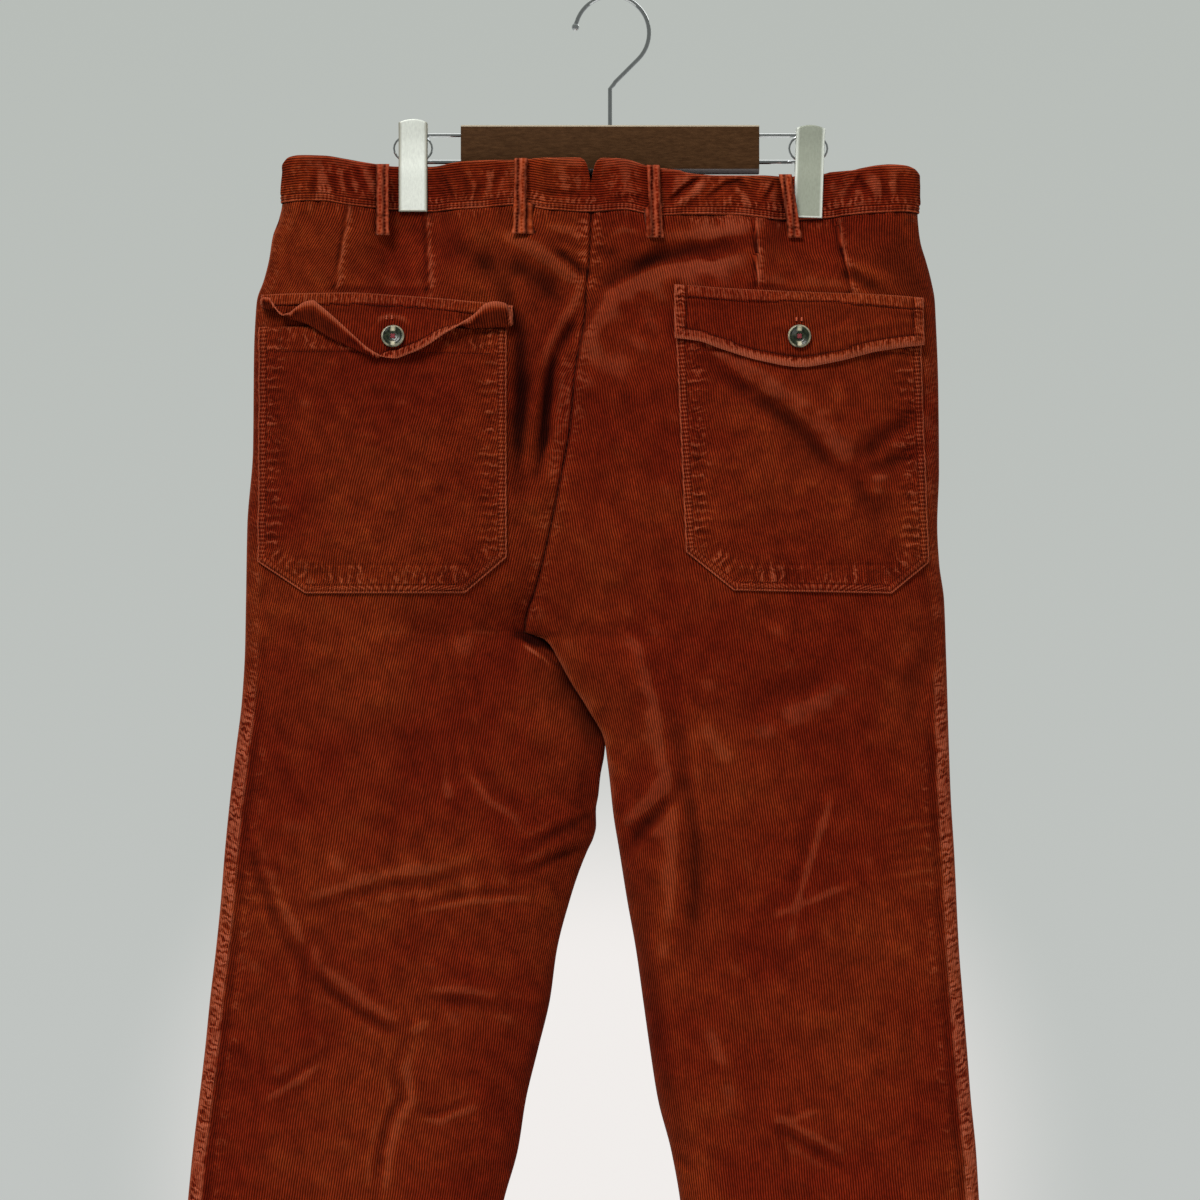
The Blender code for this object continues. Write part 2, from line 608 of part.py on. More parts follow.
def flap_section(edge):
    """Middle line of a flap down its length: pairs of distance off the panel and height."""
    half, drop = CLOTH / 2, edge.top - edge.bottom
    seat = FLAP_SEAT + half
    angle = max(math.pi * min(1.0, edge.turn / FULL_TURN), 0.01)
    fold = min(FLAP_FOLD, 0.12 * drop)
    radius = math.pi * fold / angle
    end = max(edge.turn - fold, 0.4 * fold)
    deepest = radius if angle > math.pi / 2 else radius * math.sin(angle) + end * math.cos(angle)
    start = Vector((seat + edge.lift, edge.bottom + deepest + half * math.sin(angle / 2)))
    bent = [
        start + radius * Vector((1 - math.cos(turn), -math.sin(turn)))
        for turn in (angle / 3, 2 * angle / 3, angle)
    ]
    last = bent[-1] + end * Vector((math.sin(angle), -math.cos(angle)))
    upper = Vector((FLAP_FOOT + half, edge.top))
    shoulder = Vector((seat + 0.4 * edge.lift, upper.y + 0.4 * (start.y - upper.y)))
    return [upper, shoulder, start] + bent + [last]


def build_flap(panel, normals, edges, name):
    """A pointed flap over a pocket, with the part of its edge that is turned back up."""
    near, far = {}, {}
    for index, edge in enumerate(edges):
        line = flap_section(edge)
        for step, place in enumerate(line):
            before, after = line[max(step - 1, 0)], line[min(step + 1, len(line) - 1)]
            along = (after - before).normalized()
            across = Vector((-along.y, along.x)) * CLOTH / 2
            for layer, spot in ((near, place - across), (far, place + across)):
                point, normal = on_grid(panel, normals, edge.column, spot.y)
                layer[(step, index)] = point + normal * spot.x
    make_wall(name, far, near, grid_triangles(len(line), len(edges)), POCKET_CORD)


def build_button(name, seat, axis):
    """A turned button with a raised rim and a dished middle."""
    shape = bmesh.new()
    ring = [shape.verts.new((radius, 0.0, height)) for radius, height in BUTTON_PROFILE]
    edges = [shape.edges.new(pair) for pair in zip(ring, ring[1:])]
    bmesh.ops.spin(
        shape, geom=ring + edges, cent=(0, 0, 0), axis=(0, 0, 1), angle=math.tau, steps=BUTTON_SEGMENTS,
        use_merge=True,
    )
    bmesh.ops.remove_doubles(shape, verts=shape.verts, dist=0.001)
    turn = Vector((0, 0, 1)).rotation_difference(axis).to_matrix().to_4x4()
    bmesh.ops.transform(shape, matrix=Matrix.Translation(seat) @ turn, verts=shape.verts)
    make_object(name, shape, HORN)


def lap_shift(leg, face, x):
    """How far the under end of the waistband is moved in at the front lap."""
    if leg.outward < 0 or face == BACK:
        return 0.0
    return LAP_DROP * ease(1 - (x - SEAM_X - BAND_LAP_OUT - 8.0) / LAP_EASE)


def band_stations(leg):
    """Places round one half of the waistband: face, column and shift past the centre."""
    notch = leg.column(SEAM_X + leg.outward * NOTCH_HALF_WIDTH, -140.0)
    back = [(BACK, float(column), 0.0) for column in reversed(BACK_COLUMNS[1:])]
    back.insert(1, (BACK, notch, 0.0))
    front = [(FRONT, float(column), 0.0) for column in FRONT_COLUMNS[leg.name]]
    if leg.outward < 0:
        lap = [(FRONT, 13.0, BAND_LAP_OUT / 2), (FRONT, 13.0, BAND_LAP_OUT)]
    else:
        under = [leg.column(SEAM_X + shift, -140.0) for shift in (BAND_LAP_OUT, BAND_LAP_OUT / 2)]
        front = [station for station in front if station[1] < under[0] - 0.3]
        front += [(FRONT, column, 0.0) for column in under]
        lap = [(FRONT, 13.0, 0.0), (FRONT, 13.0, -BAND_LAP_IN)]
    return back + front + lap


def band_top(face, x):
    """Upper edge of the waistband, with the notch at the centre back."""
    top = WAIST["top"](x)
    away = abs(x - SEAM_X)
    if face != BACK or away >= NOTCH_HALF_WIDTH:
        return top
    return NOTCH_BOTTOM_Z + (top - NOTCH_BOTTOM_Z) * max(away / NOTCH_HALF_WIDTH - 0.05, 0.0)


def band_point(leg, face, x, z):
    """Point on the form under the waistband and the direction out, level."""
    host = LEGS[0] if x < SEAM_X else LEGS[1]
    column = host.column(x, z)
    point, normal = host.point(face, column, z), host.normal(face, column, z)
    normal = Vector((normal.x, normal.y, 0.0)).normalized()
    point.y -= face * lap_shift(leg, face, x)
    return point, normal


def build_waistband(leg):
    """Half of the waistband, from the notch at the centre back round to the front lap."""
    outer, inner = {}, {}
    stations = band_stations(leg)
    for index, (face, column, shift) in enumerate(stations):
        seam_x = leg.x(column, -157.0) + shift
        bottom, top = WAIST["seam"](seam_x) + 2 * HALF_SEAM + 0.1, band_top(face, seam_x)
        for row, share in enumerate((0.0, 0.35, 0.7, 1.0)):
            z = bottom + (top - bottom) * share
            if column == 0.0:
                point, normal = leg.point(face, column, z), Vector((leg.outward, 0.0, 0.0))
                point.y = 0.0
            else:
                point, normal = band_point(leg, face, leg.x(column, z) + shift, z)
            if column == EDGE_COLUMN and face == BACK:
                point.x += leg.outward * HALF_SEAM
                normal = Vector((0.0, face, 0.0))
            outer[(row, index)] = point + normal * BAND_PROUD
            inner[(row, index)] = point - normal * CLOTH
    make_wall("waistband_" + leg.name, outer, inner, grid_triangles(4, len(stations)), BAND_CORD)


def ground(face, x, z, names):
    """Y of the outermost of the named bodies at a place, seen from outside."""
    levels = []
    for name in names:
        body = bpy.data.objects[name]
        start = Vector((x, face * 200.0, z)) * MM
        found, spot, _, _ = body.ray_cast(start, Vector((0.0, -face, 0.0)))
        if found:
            levels.append(face * spot.y / MM)
    return face * max(levels) if levels else None


def build_belt_loop(name, loop):
    """A narrow double strip, seated at both ends and standing off in the middle."""
    near, far = {}, {}
    half = LOOP_WIDTH / 2
    host = "_left" if loop.x_top < SEAM_X else "_right"
    under = ["waistband" + host, ("back" if loop.face == BACK else "front") + host]
    shares = (0.0, 0.12, 0.35, 0.6, 0.85, 1.0)
    for row, share in enumerate(shares):
        z = loop.z_top + (loop.z_bottom - loop.z_top) * share
        x = loop.x_top + (loop.x_bottom - loop.x_top) * share
        sides, rises = (-1.2, -0.6, 0.0, 0.6, 1.2), (-6.0, -3.0, 0.0, 3.0, 6.0)
        around = [(side, rise) for side in sides for rise in rises]
        levels = [ground(loop.face, x + half * side, z + rise, under) for side, rise in around]
        seat = max(level * loop.face for level in levels if level is not None)
        seat += LIFT + loop.stand * math.sin(math.pi * min(max((share - 0.02) / 0.96, 0.0), 1.0)) ** 0.7
        for column, side in enumerate((-1, 0, 1)):
            rounding = 0.25 * abs(side)
            near[(row, column)] = Vector((x + half * side, loop.face * seat, z))
            proud = seat + LOOP_THICKNESS - rounding
            far[(row, column)] = Vector((x + half * side, loop.face * proud, z))
    make_wall(name, far, near, grid_triangles(len(shares), 3), BAND_CORD)


def build_fly():
    """The lap over the front opening, sewn on the left front."""
    near, far = {}, {}
    drops = (0.0, 0.15, 0.3, 0.45, 0.6, 0.75, 0.88, 0.96, 1.0)
    for row, share in enumerate(drops):
        for column, across in enumerate((0.0, 0.25, 0.5, 0.75, 1.0)):
            top = WAIST["seam"](-30.0) - 1.6
            z = top + (FLY_BOTTOM_Z - top) * share
            centre = LEGS[0].line["edge"](z)
            width = FLY_WIDTH * math.sqrt(max(0.02, 1 - max(0.0, (share - 0.7) / 0.3) ** 2))
            x = centre + FLY_LAP - (width + FLY_LAP) * across
            leg = LEGS[0] if x < centre else LEGS[1]
            point = leg.point(FRONT, leg.column(x, z), z)
            near[(row, column)] = Vector((x, point.y + FLY_LIFT, z))
            far[(row, column)] = Vector((x, point.y + FLY_LIFT + CLOTH, z))
    make_wall("fly", far, near, grid_triangles(len(drops), 5), CORD)


def sweep(name, points, radii, sides, closed=False):
    """A round wire of changing radius along points in the XZ plane, closed at its ends or on itself."""
    shape = bmesh.new()
    points = [Vector(point) for point in points]
    count = len(points)
    rings = []
    for index, (point, radius) in enumerate(zip(points, radii)):
        before = points[(index - 1) % count] if closed or index > 0 else point
        after = points[(index + 1) % count] if closed or index < count - 1 else point
        along = (after - before).normalized()
        across = Vector((0.0, 1.0, 0.0)).cross(along)
        ring = []
        for side in range(sides):
            turn = math.tau * side / sides
            outward = across * math.cos(turn) + Vector((0.0, 1.0, 0.0)) * math.sin(turn)
            ring.append(shape.verts.new(point + outward * radius))
        rings.append(ring)
    pairs = list(zip(rings, rings[1:])) + ([(rings[-1], rings[0])] if closed else [])
    for first, second in pairs:
        for side in range(sides):
            following = (side + 1) % sides
            shape.faces.new((first[side], first[following], second[following], second[side]))
    if not closed:
        shape.faces.new(rings[0])
        shape.faces.new(rings[-1])
    return make_object(name, shape, CHROME)


def arc(centre, radius, start, end, steps):
    """Points on an arc in the XZ plane, angles in degrees."""
    points = []
    for step in range(steps + 1):
        turn = math.radians(start + (end - start) * step / steps)
        reach = (radius * math.cos(turn), radius * math.sin(turn))
        points.append(Vector((centre[0] + reach[0], 0.0, centre[1] + reach[1])))
    return points


def build_hook():
    """The hanging hook: a ball tip, an arc, a straight run in and the shank into the bar."""
    centre = (HOOK_X, -HOOK_RADIUS + HOOK_WIRE)
    over = arc(centre, HOOK_RADIUS, HOOK_TIP_ANGLE, HOOK_END_ANGLE, 30)
    tip = math.radians(HOOK_TIP_ANGLE)
    outward = Vector((-math.sin(tip), 0.0, math.cos(tip)))
    turns = [math.radians(angle) for angle in (12, 36, 62, 90, 118, 146)]
    ball = [over[0] + outward * HOOK_TIP_RADIUS * math.cos(turn) for turn in turns]
    ball_radii = [HOOK_TIP_RADIUS * math.sin(turn) for turn in turns]
    bend = [over[-1] + Vector((-1, 0, -1)) * reach for reach in (9.0, 17.0)]
    start = bend[-1]
    foot = BAR_TOP_Z - SOCKET_DEPTH + 0.4
    shank = [
        Vector((start.x - 1.3, 0.0, start.z - 2.0)),
        Vector((0.0, 0.0, start.z - 5.0)),
        Vector((0.0, 0.0, (start.z + foot) / 2)),
        Vector((0.0, 0.0, foot)),
    ]
    line = over[1:] + bend + shank
    sweep("hanger_hook", ball + line, ball_radii + [HOOK_WIRE] * len(line), 10)


def cut_with(target, cutter):
    """Take a cutter's shape out of an object."""
    cutter.hide_render = True
    cutter.display_type = "WIRE"
    cut = target.modifiers.new("cut_" + cutter.name, "BOOLEAN")
    cut.operation = "DIFFERENCE"
    cut.object = cutter


def build_drill(name, start, end, radius):
    """A cylinder that bores a socket."""
    shape = bmesh.new()
    direction = Vector(end) - Vector(start)
    bmesh.ops.create_cone(
        shape, cap_ends=True, segments=16, radius1=radius, radius2=radius, depth=direction.length,
    )
    turn = Vector((0, 0, 1)).rotation_difference(direction).to_matrix().to_4x4()
    middle = (Vector(start) + Vector(end)) / 2
    bmesh.ops.transform(shape, matrix=Matrix.Translation(middle) @ turn, verts=shape.verts)
    return make_object(name, shape, WOOD)


def build_bar():
    """The wooden bar, with sockets for the shank and the four wire ends."""
    shape = bmesh.new()
    half, deep = BAR_LENGTH / 2, BAR_DEPTH / 2
    low, high = BAR_LOWER_EDGE, BAR_EDGE
    section = [
        (-deep, BAR_BOTTOM_Z + low), (-deep, BAR_TOP_Z - high), (high - deep, BAR_TOP_Z),
        (deep - high, BAR_TOP_Z), (deep, BAR_TOP_Z - high), (deep, BAR_BOTTOM_Z + low),
        (deep - low, BAR_BOTTOM_Z), (low - deep, BAR_BOTTOM_Z),
    ]
    centre_z = (BAR_TOP_Z + BAR_BOTTOM_Z) / 2
    loops = []
    for x, shrink in ((-half, 0.82), (-half + 1.6, 1.0), (half - 1.6, 1.0), (half, 0.82)):
        inset = 1 if shrink == 1.0 else 1 - 1.6 / (BAR_TOP_Z - centre_z)
        ring = [(x, y * shrink, centre_z + (z - centre_z) * inset) for y, z in section]
        loops.append([shape.verts.new(spot) for spot in ring])
    for first, second in zip(loops, loops[1:]):
        for index in range(8):
            following = (index + 1) % 8
            shape.faces.new((first[index], first[following], second[following], second[index]))
    shape.faces.new(loops[0])
    shape.faces.new(loops[-1])
    bar = make_object("hanger_bar", shape, WOOD)
    bottom, mouth = (0, 0, BAR_TOP_Z - SOCKET_DEPTH), (0, 0, BAR_TOP_Z + 5)
    cut_with(bar, build_drill("drill_shank", bottom, mouth, HOOK_WIRE + SOCKET_GAP))
    for side, end in (("left", -1), ("right", 1)):
        for level, z in (("top", WIRE_TOP_Z), ("bottom", WIRE_BOTTOM_Z)):
            start, mouth = (end * (half - SOCKET_DEPTH), 0, z), (end * (half + 10), 0, z)
            cut_with(bar, build_drill(f"drill_{side}_{level}", start, mouth, WIRE_RADIUS + SOCKET_GAP))


def build_wire(clip):
    """A wire bent into a U: out of the bar, round inside the clip and back into the bar."""
    end = -1 if clip.wire_x < 0 else 1
    middle, bend = (WIRE_TOP_Z + WIRE_BOTTOM_Z) / 2, (WIRE_TOP_Z - WIRE_BOTTOM_Z) / 2
    turn_x = clip.wire_x - end * bend
    start = end * (BAR_LENGTH / 2 - SOCKET_DEPTH + 0.4)
    angles = (90.0, 270.0) if end < 0 else (90.0, -90.0)
    curve = arc((turn_x, middle), bend, *angles, 12)
    points = [Vector((start, 0.0, WIRE_TOP_Z))] + curve + [Vector((start, 0.0, WIRE_BOTTOM_Z))]
    sweep("hanger_wire_" + clip.name, points, [WIRE_RADIUS] * len(points), 10)


# Section of a clip plate down its length: distance from the top, outer face in Y, depth of its flanges
PlateRow = namedtuple("PlateRow", "down outer flange")
PLATE_ROWS = [
    PlateRow(0.0, 7.4, 2.6),
    PlateRow(5.0, 6.7, 2.4),
    PlateRow(7.6, 6.2, 1.15),
    PlateRow(21.0, 4.9, 1.15),
    PlateRow(33.0, 4.95, 1.15),
    PlateRow(38.0, 5.65, 1.8),
    PlateRow(68.4, 5.65, 1.8),
]


def tilt_about_top(clip):
    """The turn that leans a clip sideways about the middle of its grip."""
    pivot = Vector((clip.x, 0.0, clip.top_z - CLIP_LENGTH * 0.8))
    turn = Matrix.Rotation(math.radians(clip.tilt), 4, "Y")
    return Matrix.Translation(pivot) @ turn @ Matrix.Translation(-pivot)


def build_plate(clip, face, name):
    """One pressed plate of a clip: a shallow channel with a crowned top."""
    shape = bmesh.new()
    half, sheet = CLIP_WIDTH / 2, CLIP_SHEET
    loops = []
    for row in PLATE_ROWS:
        y, tip = row.outer, row.outer - row.flange
        section = [(-half, tip), (-half, y), (half, y), (half, tip), (half - sheet, tip),
                   (half - sheet, y - sheet), (sheet - half, y - sheet), (sheet - half, tip)]
        crown = CLIP_CROWN if row.down == 0.0 else 0.0
        loops.append([
            shape.verts.new((clip.x + x, face * depth, clip.top_z - row.down - crown * (x / half) ** 2))
            for x, depth in section
        ])
    for upper, lower in zip(loops, loops[1:]):
        for index in range(8):
            following = (index + 1) % 8
            shape.faces.new((upper[index], upper[following], lower[following], lower[index]))
    for loop in (loops[0], loops[-1]):
        shape.faces.new((loop[0], loop[1], loop[6], loop[7]))
        shape.faces.new((loop[1], loop[2], loop[5], loop[6]))
        shape.faces.new((loop[2], loop[3], loop[4], loop[5]))
    bmesh.ops.transform(shape, matrix=tilt_about_top(clip), verts=shape.verts)
    make_object(name, shape, PLATE)


def build_spring(clip):
    """The oval wire spring between the plates, just behind the seen plate."""
    level = (WIRE_TOP_Z + WIRE_BOTTOM_Z) / 2
    depth = -(WIRE_RADIUS + 0.3 + SPRING_WIRE)
    points = []
    for step in range(SPRING_STEPS):
        turn = math.tau * step / SPRING_STEPS
        across, rise = SPRING_HALF_WIDTH * math.cos(turn), SPRING_HALF_HEIGHT * math.sin(turn)
        points.append((clip.x + across, depth, level + rise))
    sweep(f"clip_{clip.name}_spring", points, [SPRING_WIRE] * len(points), 6, closed=True)


def build_trousers():
    """All the cloth pieces and buttons."""
    flaps = {"left": LEFT_FLAP, "right": RIGHT_FLAP}
    buttons = {"left": LEFT_BUTTON, "right": RIGHT_BUTTON}
    for leg in LEGS:
        panel, normals = build_panel(leg, BACK, BACK_COLUMNS, "back_" + leg.name)
        build_panel(leg, FRONT, FRONT_COLUMNS[leg.name], "front_" + leg.name)
        build_pocket(leg, panel, normals, "pocket_" + leg.name)
        build_flap(panel, normals, flaps[leg.name], "flap_" + leg.name)
        build_waistband(leg)
        x, z = buttons[leg.name]
        point, normal = on_grid(panel, normals, leg.column(x, z), z)
        lift = FLAP_SEAT + CLOTH + BUTTON_LIFT
        build_button("button_" + leg.name, point + normal * lift, normal)
    for number, loop in enumerate(BELT_LOOPS, start=1):
        build_belt_loop(f"belt_loop_{number}", loop)
    build_fly()
    x, z = WAIST_BUTTON
    point, normal = band_point(LEGS[0], FRONT, x, z)
    build_button("button_waist", point + normal * (BAND_PROUD + BUTTON_LIFT), normal)


def build_hanger():
    """The hook, the bar and its wires, and the two clips."""
    build_hook()
    build_bar()
    for clip in CLIPS:
        build_wire(clip)
        build_plate(clip, BACK, f"clip_{clip.name}_back")
        build_plate(clip, FRONT, f"clip_{clip.name}_front")
        build_spring(clip)


def main():
    """Clear the scene and build every piece."""
    for old in list(bpy.data.objects):
        bpy.data.objects.remove(old, do_unlink=True)
    build_trousers()
    build_hanger()


main()
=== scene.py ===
"""Looks of a pair of corduroy trousers that hang by the waistband from a clip hanger.

Every cloth piece is a thin shell on the form in which the trousers hang, with its creases laid one by
one. Tables are in millimetres and meshes in metres. -Y is the back of the trousers, +X the wearer's
right, and the origin is the inside of the hook's top.
"""

import logging
import math
from dataclasses import dataclass
from enum import Enum
from functools import cached_property

import bmesh
import bpy
import numpy as np
from mathutils import Matrix, Vector


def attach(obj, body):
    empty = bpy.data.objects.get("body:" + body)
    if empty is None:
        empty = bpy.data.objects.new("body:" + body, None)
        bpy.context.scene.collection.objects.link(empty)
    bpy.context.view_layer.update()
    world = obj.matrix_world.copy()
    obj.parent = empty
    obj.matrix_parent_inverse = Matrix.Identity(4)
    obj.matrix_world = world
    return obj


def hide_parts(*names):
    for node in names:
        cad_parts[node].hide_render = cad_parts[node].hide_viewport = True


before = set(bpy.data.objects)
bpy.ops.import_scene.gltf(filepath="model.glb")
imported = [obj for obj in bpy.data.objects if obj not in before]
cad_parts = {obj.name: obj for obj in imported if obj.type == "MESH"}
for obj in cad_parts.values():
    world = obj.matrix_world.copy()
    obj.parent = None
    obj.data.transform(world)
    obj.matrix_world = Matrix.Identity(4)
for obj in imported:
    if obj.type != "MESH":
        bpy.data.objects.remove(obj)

Array = np.ndarray
Node = bpy.types.Node
Socket = bpy.types.NodeSocket
Material = bpy.types.Material
Object = bpy.types.Object
Shape = bmesh.types.BMesh
Triple = tuple[float, float, float]
Path = tuple[tuple[float, float], ...]
Pair = tuple[Array, Array]
Runs = list[Pair]
log = logging.getLogger("trousers")

MM = 0.001
CLOTH = 1.6
HALF_SEAM = 0.15
SEAM_X = -14.1
BAND_Z = -140.0
WAIST_Z = -157.0
CROTCH_Z = -469.5
STRIP_Z = -480.0
HEM_Z = -1205.0
FRAMED_Z = -895.0
SHARP = math.radians(38)


class Face(Enum):
    """Which way a side of the trousers looks along Y."""

    BACK = -1
    FRONT = 1

    @property
    def way(self) -> Array:
        """The direction out of this side."""
        return np.array((0.0, float(self.value), 0.0))


class Smooth:
    """A curve through table rows that never overshoots them."""

    def __init__(self, places: list[float], values: list[float]) -> None:
        """Sorts the rows and works out the slope at each.

        Args:
            places: Where the rows lie.
            values: The value of each row.
        """
        order = np.argsort(places)
        self.places = np.array(places, float)[order]
        self.values = np.array(values, float)[order]
        steps, rises = np.diff(self.places), np.diff(self.values) / np.diff(self.places)
        self.slopes = np.concatenate([rises[:1], np.zeros(len(rises) - 1), rises[-1:]])
        same = rises[:-1] * rises[1:] > 0
        near, far = 2 * steps[1:] + steps[:-1], steps[1:] + 2 * steps[:-1]
        before, after = np.where(same, rises[:-1], 1.0), np.where(same, rises[1:], 1.0)
        self.slopes[1:-1] = np.where(same, (near + far) / (near / before + far / after), 0.0)

    def __call__(self, place: Array | float) -> Array:
        """Reads the curve, held level beyond its ends.

        Args:
            place: Places to read.

        Returns:
            The values there.
        """
        place = np.clip(place, self.places[0], self.places[-1])
        index = np.clip(np.searchsorted(self.places, place, "right") - 1, 0, len(self.places) - 2)
        step = self.places[index + 1] - self.places[index]
        t = (place - self.places[index]) / step
        start, end = self.values[index], self.values[index + 1]
        lead, tail = self.slopes[index] * step, self.slopes[index + 1] * step
        rest = 1 - t
        first = start * (1 + 2 * t) * rest**2 + lead * t * rest**2
        return first + end * t**2 * (3 - 2 * t) - tail * t**2 * rest


def ease(t: Array | float) -> Array:
    """0 below 0, 1 above 1 and smooth between."""
    t = np.clip(t, 0.0, 1.0)
    return t * t * (3 - 2 * t)


def round_off(t: Array, blunt: Array | float) -> Array:
    """Height of a rounded edge at the share t of its length, from 0 at the edge to 1 inside."""
    return (1 - (1 - np.clip(t, 0.0, 1.0)) ** blunt) ** (1 / blunt)


def rumple(x: Array, z: Array | float, size: float, seed: int) -> Array:
    """Smooth random relief between -1 and 1.

    Args:
        x, z: Places across and along.
        size: Distance from one swell to the next.
        seed: Which relief.

    Returns:
        The relief at each place.
    """
    lattice = np.random.default_rng(seed).uniform(-1, 1, (89, 89))
    across, along = np.broadcast_arrays(np.asarray(x) / size, np.asarray(z) / size)
    column, row = np.floor(across).astype(int), np.floor(along).astype(int)
    right, up = ease(across - column), ease(along - row)

    def knot(dx: int, dz: int) -> Array:
        """Value of a lattice point."""
        return lattice[(column + dx) % 89, (row + dz) % 89]

    low = knot(0, 0) * (1 - right) + knot(1, 0) * right
    high = knot(0, 1) * (1 - right) + knot(1, 1) * right
    return low * (1 - up) + high * up


def ripple(along: Array, pitch: float, seed: int) -> Array:
    """Uneven waves like those of a drawn-up seam.

    Args:
        along: Distance along the seam.
        pitch: Usual distance from a crest to the next hollow.
        seed: Which waves.

    Returns:
        The wave's height, from -1 to 1.
    """
    swell = np.random.default_rng(seed).uniform(0.25, 1.0, 997) * np.where(np.arange(997) % 2, 1, -1)
    spot = np.asarray(along) / pitch + 0.3 * np.sin(np.asarray(along) / (3.1 * pitch))
    index = np.floor(spot).astype(int)
    share = ease(spot - index)
    return swell[index % 997] * (1 - share) + swell[(index + 1) % 997] * share


def bell(distance: Array, width: float) -> Array:
    """A soft bump, 1 at no distance."""
    return np.exp(-((distance / width) ** 2))


def down_leg(z: Array) -> Array:
    """0 on the seat and 1 on the legs, where the pressed seam allowance shows."""
    return ease((STRIP_Z - z) / 80)


def nearest_on(path: Path, x: Array, z: Array) -> tuple[Array, Array, Array]:
    """Finds the nearest place of a broken line.

    Args:
        path: The line's corners.
        x, z: Places across and along.

    Returns:
        The distance, the side (1 on the left of the way) and how far along the line in millimetres.
    """
    best = np.full(np.shape(x), 1e9)
    side, along, done = np.ones_like(best), np.zeros_like(best), 0.0
    for (x0, z0), (x1, z1) in zip(path, path[1:]):
        dx, dz = x1 - x0, z1 - z0
        length = math.hypot(dx, dz)
        share = np.clip(((x - x0) * dx + (z - z0) * dz) / length**2, 0, 1)
        away = np.hypot(x - x0 - share * dx, z - z0 - share * dz)
        closer = away < best
        turn = np.sign(dx * (z - z0) - dz * (x - x0))
        best = np.where(closer, away, best)
        side = np.where(closer, turn, side)
        along = np.where(closer, done + share * length, along)
        done += length
    return best, side, along


@dataclass(frozen=True)
class Crease:
    """A trough or ridge: its line, half width, height and the share of the width on its left."""

    path: Path
    width: float
    height: float
    left: float

    def relief(self, x: Array, z: Array) -> Array:
        """Height of the crease at each place, dying away at both ends.

        Args:
            x, z: Places across and heights.

        Returns:
            The crease's height at each place.
        """
        total = sum(math.dist(a, b) for a, b in zip(self.path, self.path[1:]))
        away, side, along = nearest_on(self.path, x, z)
        width = np.where(side > 0, self.width * self.left, self.width)
        ends = 0.35 + 0.65 * ease(along / (0.3 * total)) * ease((total - along) / (0.3 * total))
        return self.height * ends * bell(away, width)


def laid(*rows: tuple[float, ...]) -> tuple[Crease, ...]:
    """Creases from rows of half width, height, share of the width on the left, and X and Z of each corner."""
    return tuple(Crease(tuple(zip(row[3::2], row[4::2])), *row[:3]) for row in rows)


def creased(creases: tuple[Crease, ...], x: Array, z: Array) -> Array:
    """Sum of the creases at each place.

    Args:
        creases: The creases.
        x, z: Places across and heights.

    Returns:
        Their summed height at each place.
    """
    total = np.zeros(np.broadcast(x, z).shape)
    x, z = np.broadcast_arrays(x, z)
    for crease in creases:
        xs, zs = [p[0] for p in crease.path], [p[1] for p in crease.path]
        reach = 3 * crease.width * max(1.0, crease.left)
        near = (x > min(xs) - reach) & (x < max(xs) + reach) & (z > min(zs) - reach) & (z < max(zs) + reach)
        if near.any():
            total[near] += crease.relief(x[near], z[near])
    return total


